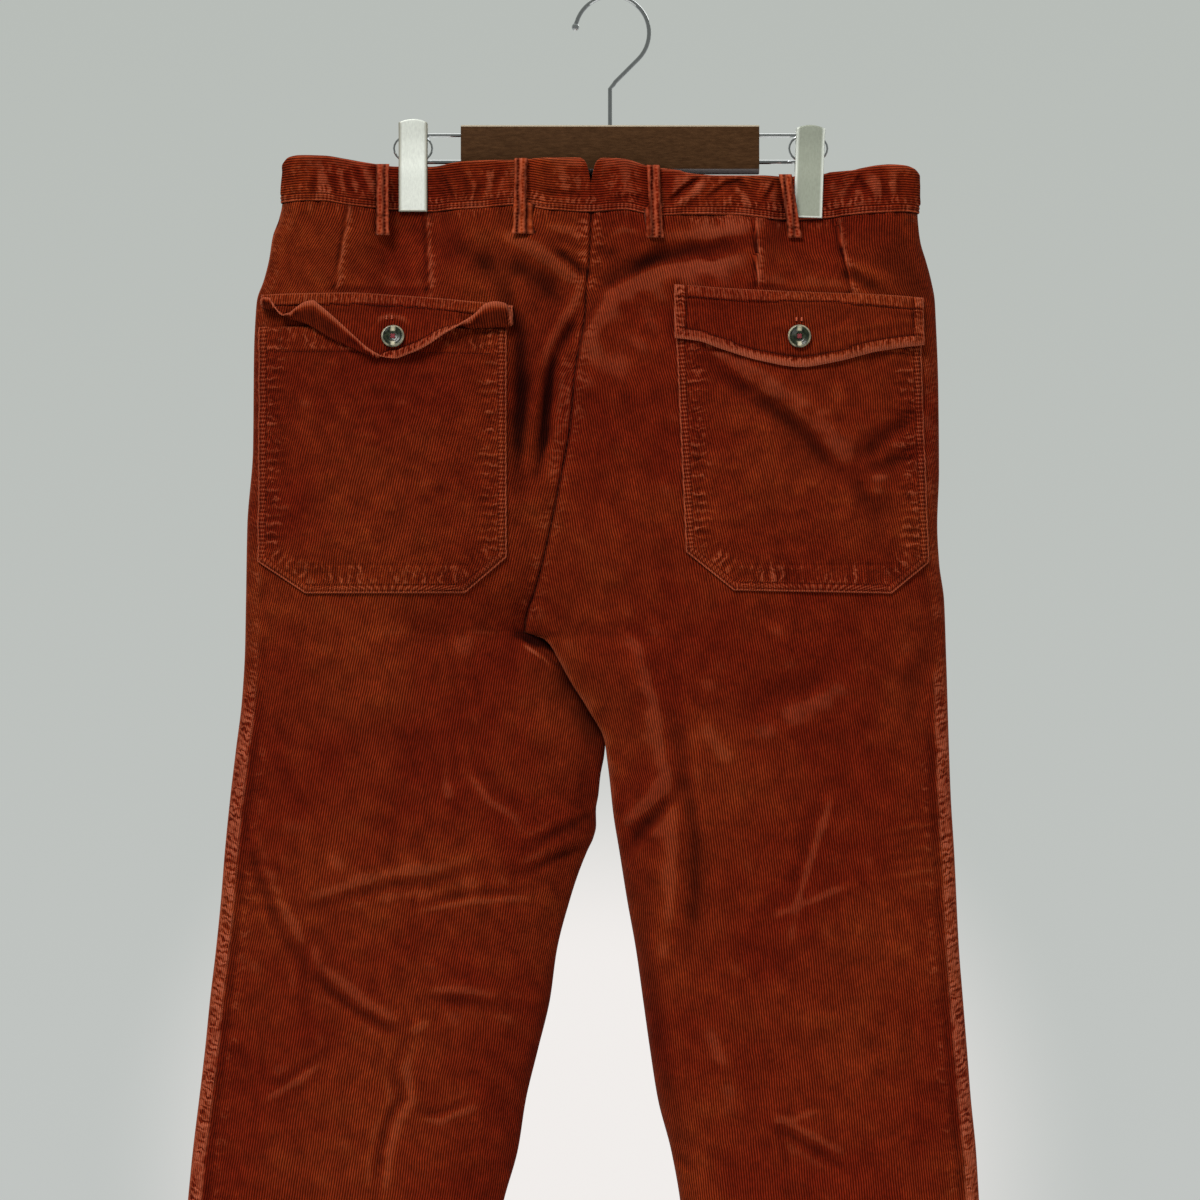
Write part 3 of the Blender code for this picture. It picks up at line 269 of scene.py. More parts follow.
BACK_CREASES = laid(
    (4.4, -4.4, 0.8, -42, -186, -30, -195, -17, -206),
    (6.5, 4.2, 1, -72, -178, -56, -186, -38, -199, -21, -212),
    (9, -4, 1, -82, -190, -62, -204, -46, -216, -36, -230),
    (5, 4.2, 0.8, -19, -211, -25, -225, -38, -247, -47, -267, -52, -289, -56, -312, -61, -350),
    (4.4, -6.2, 1, -39, -260, -44, -278, -46, -300, -48, -325, -53, -352),
    (4, -2.6, 1, -26, -240, -32, -250, -38, -258),
    (7, -5.2, 1.3, 108, -180, 75, -186, 40, -190, 3, -208),
    (5, 5.2, 2.8, 64, -198, 35, -203, 1, -221, -16, -252, -24, -278, -30, -300),
    (10, -3, 1, -128, -177, -104, -190, -78, -207),
    (8, -5, 1, -94, -197, -77, -223, -66, -250, -66, -290, -68, -330, -66, -364),
    (3, 1.2, 1, -45, -170, -30, -173, -19, -180),
    (3, -1.2, 1, -44, -178, -32, -181, -20, -190),
    (3, 1.4, 1, 2, -176, 10, -172, 22, -176),
    (3, -1.4, 1, -12, -186, -2, -190, 8, -188),
    (4, 1.8, 1, 172, -195, 189, -203, 206, -214),
    (5, -2.6, 1, 166, -202, 184, -210, 200, -219),
    (4.4, 3.6, 3.2, 74, -262, 110, -288, 145, -312, 181, -355),
    (6, -2.6, 1, 70, -270, 104, -296, 138, -320, 170, -356),
    (7, -3.8, 1, 179, -345, 203, -324, 226, -306),
    (6, -3, 1, 181, -352, 204, -345, 228, -334),
    (8, -2.8, 1, 176, -352, 187, -372, 205, -388),
    (12, -2.6, 1, 118, -300, 135, -330, 160, -352),
    (13, 2.8, 0.45, 16, -476, 28, -503, 34, -540, 42, -590, 46, -620, 44, -662, 38, -706),
    (6, -1.9, 1, 46, -508, 51, -556, 58, -590, 62, -615, 61, -662, 54, -705),
    (6, -3.5, 1, 52, -580, 37, -599, 24, -612, 11, -631),
    (7, 1.7, 1, 44, -573, 30, -592, 14, -606),
    (8, 1.3, 1, 65, -531, 78, -550, 90, -568),
    (12, -2, 1, 87, -528, 133, -509, 170, -494),
    (12, 1.2, 1, 95, -546, 140, -526, 180, -509),
    (4.3, 1.1, 0.7, 164, -584, 152, -621, 139, -661, 133, -692),
    (5.8, -1, 1, 155, -583, 142, -620, 130, -660),
    (2.9, 1, 1.6, 112, -680, 140, -669, 180, -652),
    (12, -1.3, 1, 72, -600, 84, -640, 96, -690),
    (3.3, -1.6, 1.4, 115, -829, 143, -845, 164, -858, 180, -866),
    (3.6, 1, 1, 120, -822, 148, -838, 170, -851),
    (2.9, 1, 1, 115, -829, 133, -826, 152, -820),
    (2.9, -1, 1, 123, -832, 127, -848, 130, -863),
    (2.9, -1.4, 1, 47, -852, 53, -858, 59, -864),
    (16, -1.2, 1, 100, -700, 140, -720, 200, -712),
    (14, -1.1, 1, 120, -760, 160, -772, 215, -766),
    (10, 1.3, 1, 70, -740, 84, -790, 90, -830),
    (10, -2, 1, 240, -470, 225, -500, 222, -540),
    (4.7, -2.1, 1, -69, -648, -43, -635, -17, -625),
    (4, 1.5, 1, -62, -640, -36, -627, -12, -618),
    (4.3, -1.9, 1, -62, -627, -33, -612, -11, -602),
    (4.3, 1, 1, -56, -618, -28, -604, -10, -595),
    (3.6, 1, 1, -108, -567, -89, -593, -69, -605),
    (5, -1.1, 1, -98, -563, -80, -586, -60, -598),
    (4.3, 1, 1, -121, -563, -120, -580, -117, -596),
    (5.8, -1.5, 0.8, -268, -612, -261, -641, -245, -681, -229, -707, -215, -729),
    (5, 1.1, 1, -255, -640, -237, -676, -220, -702),
    (4.3, -1.5, 1.5, -227, -674, -196, -664, -160, -654, -134, -653, -108, -644, -95, -643),
    (4.3, 1, 1.6, -224, -666, -193, -656, -157, -646, -131, -645, -106, -637),
    (2.6, 1, 1, -144, -674, -101, -666, -59, -664),
    (2.9, -1, 1, -140, -668, -100, -660, -60, -658),
    (2.2, -0.9, 1, -144, -661, -144, -668, -144, -675),
    (3, -2, 1.3, -220, -716, -206, -732, -186, -747, -163, -760, -149, -765),
    (4.3, 1.4, 1.4, -216, -707, -200, -724, -181, -739, -158, -752),
    (2.9, -1.9, 1.2, -149, -765, -160, -788, -154, -811, -163, -825, -170, -849, -173, -887),
    (3.6, 1, 1.6, -141, -768, -150, -790, -145, -812, -155, -828, -162, -850, -165, -887),
    (3.3, 1.2, 1, -149, -764, -140, -759, -131, -753),
    (3.6, -1.1, 1.4, -141, -739, -108, -739, -82, -744, -46, -746),
    (3.6, 0.9, 1, -140, -732, -108, -732, -84, -737),
    (2.4, -1.2, 1, -144, -820, -127, -822, -101, -812),
    (2.9, 0.9, 1, -140, -826, -125, -828, -100, -818),
    (3.3, 1.2, 1, -255, -814, -229, -798, -209, -781),
    (3.6, -1, 1, -250, -804, -224, -788, -204, -773),
    (5, -1, 1, -222, -690, -226, -730, -220, -770),
    (22, -1.3, 1, -246, -520, -190, -540, -120, -545),
    (18, 1.1, 1, -250, -600, -205, -640, -150, -655),
    (12, -1.5, 1, -290, -930, -240, -950, -190, -945),
    (14, -1.5, 1, -270, -1010, -220, -1030, -170, -1020),
    (14, -1.4, 1, 90, -960, 150, -985, 210, -980),
    (14, -1.3, 1, 120, -1050, 180, -1070, 240, -1062),
    *((2.6, -0.9, 1, 196, z - 5, 222, z, 243, z + 3) for z in (-607, -616, -624, -633, -641, -650)),
    *((2.6, -0.9, 1, -271, z + 2, -250, z, -236, z - 4) for z in (-640, -652, -661, -672)),
)
# Painted shadow and painted light on each leg's back, laid out like creases: a height below 0 darkens the
# pile and above 0 lightens it; the first left row is the dark hollow at the crotch.
SHADES = {
    "left": laid(
        (4, -2.4, 1, -68, -470.5, -58, -473.5, -48, -477, -43, -481),
        (4, -0.5, 1, -56, -481, -44, -489, -36, -499),
        (15, -0.75, 1, -40, -484, -26, -510, -12, -535, -7, -560),
        (14, -0.3, 1, -20, -560, -24, -600, -40, -640),
        (2, 0.75, 1, -68, -473.5, -61, -480, -48, -489, -38, -499),
        (1.8, 0.45, 1, -54, -478, -44, -485, -35, -493),
        (12, -0.35, 1, -64, -236, -64, -290, -66, -364),
        (12, -0.3, 1, -84, -196, -62, -216, -48, -240),
    ),
    "right": laid(
        (7, 0.28, 1, -58, -472, -46, -480, -36, -500, -20, -528, -5, -556, 3, -600),
        (10, -0.35, 1, 21, -184, 8, -192, -6, -200),
        (16, 0.16, 1, 62, -212, 24, -236, 4, -270, 0, -300),
        (24, 0.24, 1, 84, -150, 84, -208),
        (20, -0.42, 1, 188, -165, 212, -192, 234, -235),
        (6, -0.35, 1, 16, -640, 27, -704, 38, -778, 54, -852),
        (10, -0.35, 1, 60, -600, 66, -640, 62, -700),
    ),
}
FRONT_CREASES = laid(
    (13, -3.4, 1, -205, -250, -160, -280, -110, -330),
    (13, -3.4, 1, 185, -245, 140, -280, 100, -335),
    (12, -4, 1, -62, -402, -100, -420, -150, -448),
    (10, -3.4, 1, -55, -430, -100, -452, -165, -470),
    (12, -4, 1, -20, -420, 30, -438, 92, -462),
    (10, -3.4, 1, -25, -445, 30, -470, 100, -492),
    (14, 3.2, 1, -60, -520, -110, -545, -160, -556),
    (14, 3.2, 1, 60, -515, 110, -545, 160, -566),
    (18, 2.6, 1, -150, -560, -165, -640, -185, -720),
    (18, 2.6, 1, 120, -560, 140, -640, 150, -720),
    (9, -3.4, 1, -230, -790, -190, -812, -130, -820),
    (8, -2.6, 1, -220, -815, -180, -838, -135, -842),
    (9, -3.4, 1, 90, -780, 140, -800, 200, -828),
    (8, -2.6, 1, 100, -812, 150, -838, 205, -846),
    (10, -2.8, 1, -270, -900, -220, -884, -160, -880),
    (10, -2.8, 1, 100, -905, 160, -888, 220, -886),
    (12, -2.6, 1, -280, -1000, -230, -1022, -180, -1016),
    (12, -2.6, 1, 90, -1010, 150, -1030, 230, -1020),
)
DARTS = (
    ((-193.7, -158.5), (-202.5, -215.0)),
    ((-137.2, -160.0), (-133.3, -220.5)),
    ((107.0, -162.5), (107.2, -214.5)),
    ((166.6, -163.8), (176.0, -218.0)),
)
DART_LEDGES = (
    ((-203, -215.5), (-170, -217.5), (-133, -216.5)),
    ((107, -213.5), (140, -217.5), (177, -218.5)),
)

LEFT_SIDE = {
    -115: -240.8, -135: -242, -157: -242.6, -168: -245, -179: -249.4, -195: -252.3, -208.6: -256,
    -223.4: -261.2, -236: -262.3, -260: -263.4, -334: -264.2, -390: -268.4, -445: -269.4, -482: -270.1,
    -519: -272.3, -556: -276.8, -593: -281.2, -630: -284.9, -667: -287.9, -704: -291.6, -741: -296,
    -778: -299.7, -815: -304.1, -852: -308.6, -889: -312.3, -1000: -321.5, -1100: -329, -1205: -336,
}
RIGHT_SIDE = {
    -115: 226.4, -135: 228.2, -157: 227.5, -168: 228.2, -179: 229.6, -195: 234, -208.6: 237.5,
    -223.4: 240.3, -236: 241, -290: 243, -350: 243.5, -390: 242.2, -418: 243.6, -445: 247.2, -482: 248.6,
    -556: 250.9, -593: 252.3, -630: 254.6, -704: 258.3, -741: 261.2, -778: 264.2, -815: 267.1,
    -852: 270.8, -889: 273.1, -1000: 280, -1100: 285.5, -1205: 291,
}
CENTRE_SEAM = {
    -115: -14.1, -157: -14.1, -195: -15.5, -211: -17.2, -236: -18.6, -248.5: -20.7, -277: -25.9,
    -316.6: -29.2, -354: -36, -379.5: -41.1, -410: -47.8, -440: -56, -454: -61.2, -464: -62.9,
    CROTCH_Z: -62.9,
}
LEFT_INSEAM = {
    -471: -56, -473: -49, -476: -41.5, -480: -34, -488: -23, -505: -12, -525: -6, -550: -3.4, -560: -4.2,
    -575: -7, -590: -8.6, -601: -10.4, -612: -10.2,
    -622: -12.5, -630: -16.3, -648: -23.5, -667: -29.6, -704: -39.2, -741: -44.4, -778: -53.3,
    -815: -62.2, -852: -68.1, -889: -78.4, -940: -89, -1000: -98, -1100: -110.5, -1205: -121,
}
RIGHT_INSEAM = {
    -472: -53, -476: -46.6, -488: -39, -505: -29.6, -525: -17, -550: -4, -563: -2.2, -575: -0.7, -605: 2.6,
    -630: 6.7, -667: 12.6, -704: 19.2, -741: 24.4, -778: 29.6, -815: 35.5, -852: 45.1, -889: 51.8,
    -940: 57.5, -1000: 62.5, -1100: 69.5, -1205: 76,
}
SEAT_DEPTH = {-115: 13.2, -157: 13.8, -195: 19, -236: 25, -290: 31, -350: 35, -405: 37, -440: 37}
LEFT_DEPTH = {-469.5: 36, -505: 35, -525: 34, -575: 32.2, -640: 30, -740: 27, -889: 23, -1000: 20, -1205: 14}
RIGHT_DEPTH = {
    -469.5: 36.6, -505: 36.2, -550: 35.3, -575: 34.7, -640: 33, -740: 31, -889: 28, -1000: 24, -1205: 16,
}
MIDDLE = {
    -115: 12.9, -157: 13.2, -195: 17, -236: 22, -290: 26, -350: 28, -405: 26, -430: 19.5, -450: 10,
    -466: 3.2, -474: 0.4, -482: 0,
}
ROLL = {
    -115: 20, -157: 22, -195: 45, -236: 75, -290: 105, -350: 125, -469.5: 130, -550: 120, -740: 92, -1205: 40,
}
TAIL = {
    -115: 60, -236: 100, -350: 140, -469.5: 150, -505: 148, -550: 125, -575: 110, -640: 90, -889: 66,
    -1205: 40,
}
BLUNT = {-115: 2, -290: 1.9, -405: 1.6, -440: 1.5, -525: 1.5, -575: 1.7, -640: 2, -1205: 2}
OVERLAP = {-469.5: 0, -476: 6, -488: 9, -505: 10, -525: 9, -550: 6.5, -575: 4, -640: 0}
BAND_TOP = {
    -242.5: -123, -238: -118.6, -230: -117.5, -211: -118, -196: -120.3, -176: -123.6, -157.6: -124.9,
    -133: -125, -110: -122.4, -96: -121.4, -70: -121, -44: -119.4, -26: -119.4, -14.1: -120.2,
    -2: -119.6, 11: -120.4, 26: -125.0, 37.7: -127.2, 49: -128.4, 59: -131, 81: -132.6, 100: -132.6,
    126: -132.5, 158: -130.4, 164: -129, 178: -128.8, 185: -127.3, 198: -125, 207: -124.4, 218: -125,
    225: -127.2, 228.5: -131,
}
BAND_SEAM = {
    -242.5: -152.6, -222: -151.8, -211: -152, -196: -154.2, -176: -156.8, -157.6: -157.6, -133: -159,
    -96: -157, -70: -155.2, -44: -158.4, -20: -160.0, -14.1: -160, 11: -158.5, 26: -161.2, 37.7: -162.6,
    59: -161.8, 86.6: -161.8, 126: -165.2, 158: -163.8, 178: -162.2, 198: -160.5, 218: -159.8, 228.7: -160.2,
}
LEFT_GRAIN = {-115: -100, -157: -110, -440: -175, -560: -199, -889: -253, -1205: -302}
RIGHT_GRAIN = {-115: 82, -157: 90, -440: 146, -560: 165, -889: 204, -1205: 235}


def curve(*tables: dict[float, float]) -> Smooth:
    """One curve through the rows of one or more tables."""
    rows = {place: value for table in tables for place, value in table.items()}
    return Smooth(list(rows), list(rows.values()))


@dataclass(frozen=True)
class Grip:
    """Where the clips press the waist together."""

    left: float = -145.6
    right: float = 146.6
    half_width: float = 13.5
    fade: float = 22.0
    top: float = -166.0
    bottom: float = -234.0
    pressed: float = 2.0

    def at(self, x: Array, z: Array) -> Array:
        """How far the waist is pressed together at each place, 0 to 1.

        Args:
            x, z: Places across and heights.

        Returns:
            The share of the press.
        """
        down = ease((z - self.bottom) / (self.top - self.bottom))
        away = np.minimum(np.abs(x - self.left), np.abs(x - self.right))
        return down * ease(1 - (away - self.half_width) / self.fade)


GRIP = Grip()
middle_depth, side_roll, edge_tail, edge_blunt = curve(MIDDLE), curve(ROLL), curve(TAIL), curve(BLUNT)
leg_overlap, band_top_line, band_seam_line = curve(OVERLAP), curve(BAND_TOP), curve(BAND_SEAM)


@dataclass
class LegForm:
    """One half of the trousers: the outline and depth of its hollow form."""

    name: str
    outward: int
    side: Smooth
    edge: Smooth
    depth: Smooth
    grain: Smooth

    def from_side(self, x: Array, z: Array) -> Array:
        """Distance inwards from the outseam."""
        return (self.side(z) - x) * self.outward

    def height(self, face: Face, x: Array, z: Array, folds: bool = True) -> Array:
        """Y of the cloth's outer surface.

        Args:
            face: Back or front.
            x, z: Places across and heights.
            folds: Whether the creases are laid on.

        Returns:
            Y in millimetres.
        """
        side, edge = self.side(z), self.edge(z)
        from_side, from_edge = (side - x) * self.outward, (x - edge) * self.outward
        depth = self.depth(z)
        still_open = middle_depth(z) / depth
        tail = round_off(from_edge / edge_tail(z), edge_blunt(z))
        half = depth * round_off(from_side / side_roll(z), 2.0) * (still_open + (1 - still_open) * tail)
        press = GRIP.at(x, z)
        half = half * (1 - press) + np.minimum(half, GRIP.pressed) * press
        mid = -self.outward * leg_overlap(z) * ease(((x - side) / (edge - side) - 0.45) / 0.5)
        if folds:
            joined = np.clip(middle_depth(z) / 10.0, 0, 1)
            fade = ease(from_side / 9.0) * (joined + (1 - joined) * ease(from_edge / 9.0)) * (1 - press)
            half = half + fade * self.relief(face, x, z)
        return mid + face.value * (half + HALF_SEAM)

    def relief(self, face: Face, x: Array, z: Array) -> Array:
        """Creases, darts, seam puckers and the cloth's own slight waviness.

        Args:
            face: Back or front.
            x, z: Places across and heights.

        Returns:
            Height above the smooth form.
        """
        creases = BACK_CREASES if face is Face.BACK else FRONT_CREASES
        total = creased(creases, x, z)
        total += 1.1 * rumple(x, z, 34.0, 11) + 0.6 * rumple(x + 0.4 * z, z, 13.0, 12)
        seam = np.abs(x - self.edge(z))
        sewn = ease((z - CROTCH_Z + 2) / 4)
        total += sewn * (0.25 * ripple(z, 5.0, 21) * bell(seam, 5.0) - 0.9 * bell(seam, 1.6))
        below = band_seam_line(x) - z
        total += 0.4 * ripple(x, 4.6, 22) * np.exp(-np.maximum(below, 0) / 9.0)
        if face is Face.BACK:
            for number, dart in enumerate(DARTS):
                away, side, along = nearest_on(dart, x, z)
                total += 0.25 * ripple(along, 2.8, 30 + number) * bell(away, 4.0) - 0.7 * bell(away, 1.5)
                total += 0.8 * bell(away, 5.0) * (side > 0)
            for ledge in DART_LEDGES:
                away, side, _ = nearest_on(ledge, x, z)
                total -= 1.5 * bell(away, np.where(side > 0, 1.4, 4.5))
        return total

    def seat(self, face: Face, x: Array, z: Array) -> Pair:
        """Points on the outer surface and the directions out of it.

        Args:
            face: Back or front.
            x, z: Places across and heights.

        Returns:
            Points and unit normals, with X, Y and Z in the last axis.
        """
        x, z = np.broadcast_arrays(np.asarray(x, float), np.asarray(z, float))
        step = 0.35
        y = self.height(face, x, z)
        inward = x - self.outward * step
        level = self.height(face, x, z, False)
        across = (self.height(face, inward, z, False) - level) / (inward - x)
        along = (self.height(face, x, z + step, False) - self.height(face, x, z - step, False)) / (2 * step)
        normal = np.stack([-across * face.value, np.full_like(y, face.value), -along * face.value], axis=-1)
        normal /= np.linalg.norm(normal, axis=-1, keepdims=True)
        return np.stack([x, y, z], axis=-1), normal

    def wale_place(self, points: Array) -> Array:
        """Distance across the wales of a grid of points, counted from the leg's grain line.

        Args:
            points: A grid of points, row by row.

        Returns:
            The distance at each point.
        """
        arc = travel(points[..., :2].swapaxes(0, 1)).T
        across = np.empty_like(arc)
        for row, (x, line) in enumerate(zip(points[..., 0], arc)):
            order = np.argsort(x)
            across[row] = line - np.interp(self.grain(points[row, 0, 2]), x[order], line[order])
        return across


LEGS = tuple(
    LegForm(name, outward, curve(side), curve(CENTRE_SEAM, inseam), curve(SEAT_DEPTH, depth), curve(grain))
    for name, outward, side, inseam, depth, grain in (
        ("left", -1, LEFT_SIDE, LEFT_INSEAM, LEFT_DEPTH, LEFT_GRAIN),
        ("right", 1, RIGHT_SIDE, RIGHT_INSEAM, RIGHT_DEPTH, RIGHT_GRAIN),
    )
)
LEFT, RIGHT = LEGS


class Nodes:
    """Adds nodes to one tree."""

    def __init__(self, tree: bpy.types.NodeTree) -> None:
        """Takes the tree."""
        self.tree = tree

    def feed(self, node: Node, inputs: dict) -> None:
        """Gives a node its inputs.

        Args:
            node: The node.
            inputs: Values or sockets by the input's name or number, colours without their fourth value.
        """
        for name, value in inputs.items():
            slot = node.inputs[name]
            if isinstance(value, Socket):
                self.tree.links.new(value, slot)
            else:
                slot.default_value = (*value, 1.0) if slot.type == "RGBA" else value

    def node(self, kind: str, inputs: dict | None = None, **settings: object) -> Node:
        """Adds a node.

        Args:
            kind: Its type without the ShaderNode prefix.
            inputs: Values or sockets for its inputs, by name or number.
            settings: Its properties.

        Returns:
            The node.
        """
        made = self.tree.nodes.new("ShaderNode" + kind)
        for name, value in settings.items():
            setattr(made, name, value)
        self.feed(made, inputs or {})
        return made

    def sum(self, operation: str, *values: Socket | float) -> Socket:
        """A Math node's result."""
        return self.node("Math", dict(enumerate(values)), operation=operation).outputs[0]

    def times(self, first: Socket, second: Socket | float) -> Socket:
        """The product of two values."""
        return self.sum("MULTIPLY", first, second)

    def mix(self, share: Socket | float, first: object, second: object, blend: str = "MIX") -> Socket:
        """A colour mix's result."""
        inputs = {0: share, 6: first, 7: second}
        return self.node("Mix", inputs, data_type="RGBA", blend_type=blend).outputs[2]

    def remap(self, value: Socket, *ends: Socket | float, **settings: object) -> Socket:
        """Stretches a value between the first two ends to the last two, held within them."""
        return self.node("MapRange", {0: value, **dict(enumerate(ends, 1))}, **settings).outputs[0]

    def noise(self, vector: Socket, scale: float, detail: float = 2.0, rough: float = 0.5) -> Socket:
        """A noise texture's value."""
        inputs = {"Vector": vector, "Scale": scale, "Detail": detail, "Roughness": rough}
        return self.node("TexNoise", inputs).outputs[0]


class Dye(Nodes):
    """Builds one procedural material."""

    def __init__(self, name: str, **shading: object) -> None:
        """Starts a material from a plain shader.

        Args:
            name: The material's name.
            shading: Values of the shader's inputs, with underscores for spaces.
        """
        self.material = bpy.data.materials.new(name)
        self.material.use_nodes = True
        super().__init__(self.material.node_tree)
        self.shader = self.tree.nodes["Principled BSDF"]
        self.feed(self.shader, {label.replace("_", " "): value for label, value in shading.items()})

    def layer(self, name: str) -> Socket:
        """A layer of the mesh."""
        return self.node("Attribute", attribute_name=name).outputs["Fac"]

    def place(self, scale: Triple = (1, 1, 1)) -> Socket:
        """Object coordinates, stretched."""
        where = self.node("TexCoord").outputs["Object"]
        return self.node("Mapping", {"Vector": where, "Scale": scale}).outputs[0]

    def bump(self, height: Socket, distance: float, strength: float) -> None:
        """Raises the surface by a height map."""
        made = self.node("Bump", {"Height": height, "Distance": distance, "Strength": strength})
        self.feed(self.shader, {"Normal": made.outputs[0]})

    def colour(self, value: Socket) -> None:
        """Sets the base colour."""
        self.feed(self.shader, {"Base Color": value})


@dataclass(frozen=True)
class Corduroy:
    """Fine-wale corduroy: pile ridges, dark furrows, scuffed pile where the seams stand up, painted shade in
    the folds and painted highlights on the ridges.

    Glow is how much a slightly scuffed place, and a ridge with a painted highlight, gains in red, green and
    blue before it pales.
    """

    name: str
    furrow: Triple = (0.026, 0.0015, 0.0004)
    pile: Triple = (0.205, 0.0158, 0.0040)
    rust: Triple = (0.232, 0.0272, 0.0058)
    worn_and_lit: Triple = (0.42, 0.096, 0.046)
    glow: Triple = (0.55, 1.15, 0.7)
    wale: float = 1.85

    def wales(self, dye: Dye, where: Socket) -> tuple[Socket, Socket]:
        """Height of the wales and the flecks of their pile.

        Args:
            dye: The material being built.
            where: Places on the object.

        Returns:
            The wales from 0 in a furrow to 1 on a ridge, and the flecks.
        """
        grain = dye.node("UVMap", uv_map="grain").outputs[0]
        parts = dye.node("SeparateXYZ", {0: grain}).outputs
        waver = dye.remap(dye.noise(where, 60.0, 1.0), 0, 1, -0.0007, 0.0007)
        across = dye.sum("ADD", parts[0], waver)
        wave = dye.sum("SINE", dye.times(across, math.pi / (self.wale * MM)))
        ridge = dye.sum("POWER", dye.sum("ABSOLUTE", wave), 1.7)
        stretched = dye.node("CombineXYZ", {0: across, 1: dye.times(parts[1], 0.28)}).outputs[0]
        return ridge, dye.noise(stretched, 900.0, 2.0, 0.6)

    def puckers(self, dye: Dye, where: Socket) -> Socket:
        """Short cross ridges along the drawn-up seams, below 0 in their hollows; they bump the surface and
        are also painted as light on their crests and shade in their hollows.

        Args:
            dye: The material being built.
            where: Places on the object.

        Returns:
            The ridges' height.
        """
        strength = dye.layer("pucker")
        phase = dye.layer("phase")
        jitter = dye.remap(dye.noise(where, 190.0, 2.0), 0, 1, -1.1, 1.1)
        turn = dye.times(dye.sum("ADD", phase, jitter), math.tau)
        rung = dye.remap(dye.sum("SINE", turn), -1, 1, -0.55, 0.6)
        patchy = dye.remap(dye.noise(where, 110.0, 2.0), 0.35, 0.65, 0.15, 1.25)
        return dye.times(dye.times(strength, patchy), rung)

    @cached_property
    def material(self) -> Material:
        """The finish as a material.

        Returns:
            The material, made at its first use.
        """
        dye = Dye(
            self.name, Roughness=0.9, Sheen_Weight=0.06, Sheen_Roughness=0.35, Sheen_Tint=(1.0, 0.34, 0.2),
            Specular_IOR_Level=0.03,
        )
        where = dye.place()
        ridge, fleck = self.wales(dye, where)
        drawn = self.puckers(dye, where)
        mottle = dye.noise(where, 85.0, 5.0, 0.7)
        cloud = dye.noise(where, 8.0, 3.0, 0.55)
        pile = dye.mix(dye.remap(cloud, 0.4, 0.62, 0.0, 1.0), self.pile, self.rust)
        lit = dye.times(ridge, dye.remap(fleck, 0.3, 0.75, 0.6, 1.2))
        body = dye.mix(lit, self.furrow, pile)
        shade = dye.times(dye.remap(mottle, 0.3, 0.7, 0.72, 1.28), dye.remap(cloud, 0.3, 0.7, 0.88, 1.1))
        # Painted shade in the folds and pucker hollows darkens the pile; painted light on ridges and pucker
        # crests warms and pales it, as scuffing does on the edges.
        wear = dye.sum("ADD", dye.layer("wear"), drawn)
        shade = dye.times(shade, dye.remap(wear, -1.0, 0.0, 0.14, 1.0))
        gains = (dye.times(shade, dye.remap(wear, 0.0, 0.45, 1.0, 1.0 + gain)) for gain in self.glow)
        tone = dye.node("CombineXYZ", dict(enumerate(gains))).outputs[0]
        body = dye.mix(1.0, body, tone, "MULTIPLY")
        # Pale colour for scuffed edges and for painted highlights on ridges and margins.
        pale_edge = dye.times(dye.remap(wear, 0.12, 1.0, 0.0, 1.0), dye.remap(lit, 0.0, 0.8, 0.45, 1.15))
        dye.colour(dye.mix(pale_edge, body, self.worn_and_lit))
        uneven = dye.sum("ADD", dye.times(fleck, 0.5), dye.times(drawn, 1.4))
        relief = dye.sum("ADD", ridge, uneven)
        dye.bump(relief, 0.0006, 0.6)
        return dye.material


@dataclass
class Nap:
    """How the pile lies at each point of a grid.

    Across and along place the wales, in millimetres. The third layer runs from -1, painted shade in a deep
    fold, to 1, a scuffed edge with a painted highlight. Pucker is the strength of a seam's cross ridges and
    phase counts them.
    """

    across: Array
    along: Array
    wear: Array
    pucker: Array
    phase: Array

    def layers(self, size: tuple[int, int]) -> list[Array]:
        """The five layers, each at the size of a grid."""
        parts = (self.across, self.along, np.clip(self.wear, -1, 1), np.clip(self.pucker, 0, 1), self.phase)
        return [np.array(np.broadcast_to(part, size), float) for part in parts]


def strongest(*layers: Pair) -> Pair:
    """Picks the strongest of several rows of puckers at each place.

    Args:
        layers: Strength and phase of each row.

    Returns:
        Strength and phase of the strongest.
    """
    flat = [np.stack(part) for part in zip(*(np.broadcast_arrays(*layer) for layer in layers))]
    pick = flat[0].argmax(axis=0)[None]
    return tuple(np.take_along_axis(part, pick, axis=0)[0] for part in flat)


def window(distance: Array, start: float, full: float, drop: float, end: float) -> Array:
    """Rises from 0 at start to 1 at full, and falls from 1 at drop to 0 at end."""
    return ease((distance - start) / (full - start)) * ease((end - distance) / (end - drop))


def proud_of(level: Array, rows: int, columns: int) -> Array:
    """How far each point of a grid of heights stands above the mean of its surroundings.

    Args:
        level: Heights in millimetres.
        rows: Rows each way that count.
        columns: Columns each way that count.

    Returns:
        Heights above the mean, below 0 in a fold.
    """
    mean = level
    for axis, reach in ((0, rows), (1, columns)):
        pads = [(0, 0), (0, 0)]
        pads[axis] = (reach + 1, reach)
        sums = np.cumsum(np.pad(mean, pads, mode="edge"), axis=axis)
        width, size = 2 * reach + 1, sums.shape[axis]
        ahead, behind = np.take(sums, range(width, size), axis), np.take(sums, range(size - width), axis)
        mean = (ahead - behind) / width
    return level - mean


def linked(name: str, data: bpy.types.ID) -> Object:
    """Puts a mesh, camera or light into the scene.

    Args:
        name: The object's name.
        data: What it shows.

    Returns:
        The object.
    """
    made = bpy.data.objects.new(name, data)
    bpy.context.scene.collection.objects.link(made)
    return made


def to_mesh(name: str, shape: Shape) -> bpy.types.Mesh:
    """Turns a shape into a mesh and frees the shape.

    Args:
        name: The mesh's name.
        shape: The shape.

    Returns:
        The mesh.
    """
    mesh = bpy.data.meshes.new(name)
    shape.to_mesh(mesh)
    shape.free()
    return mesh


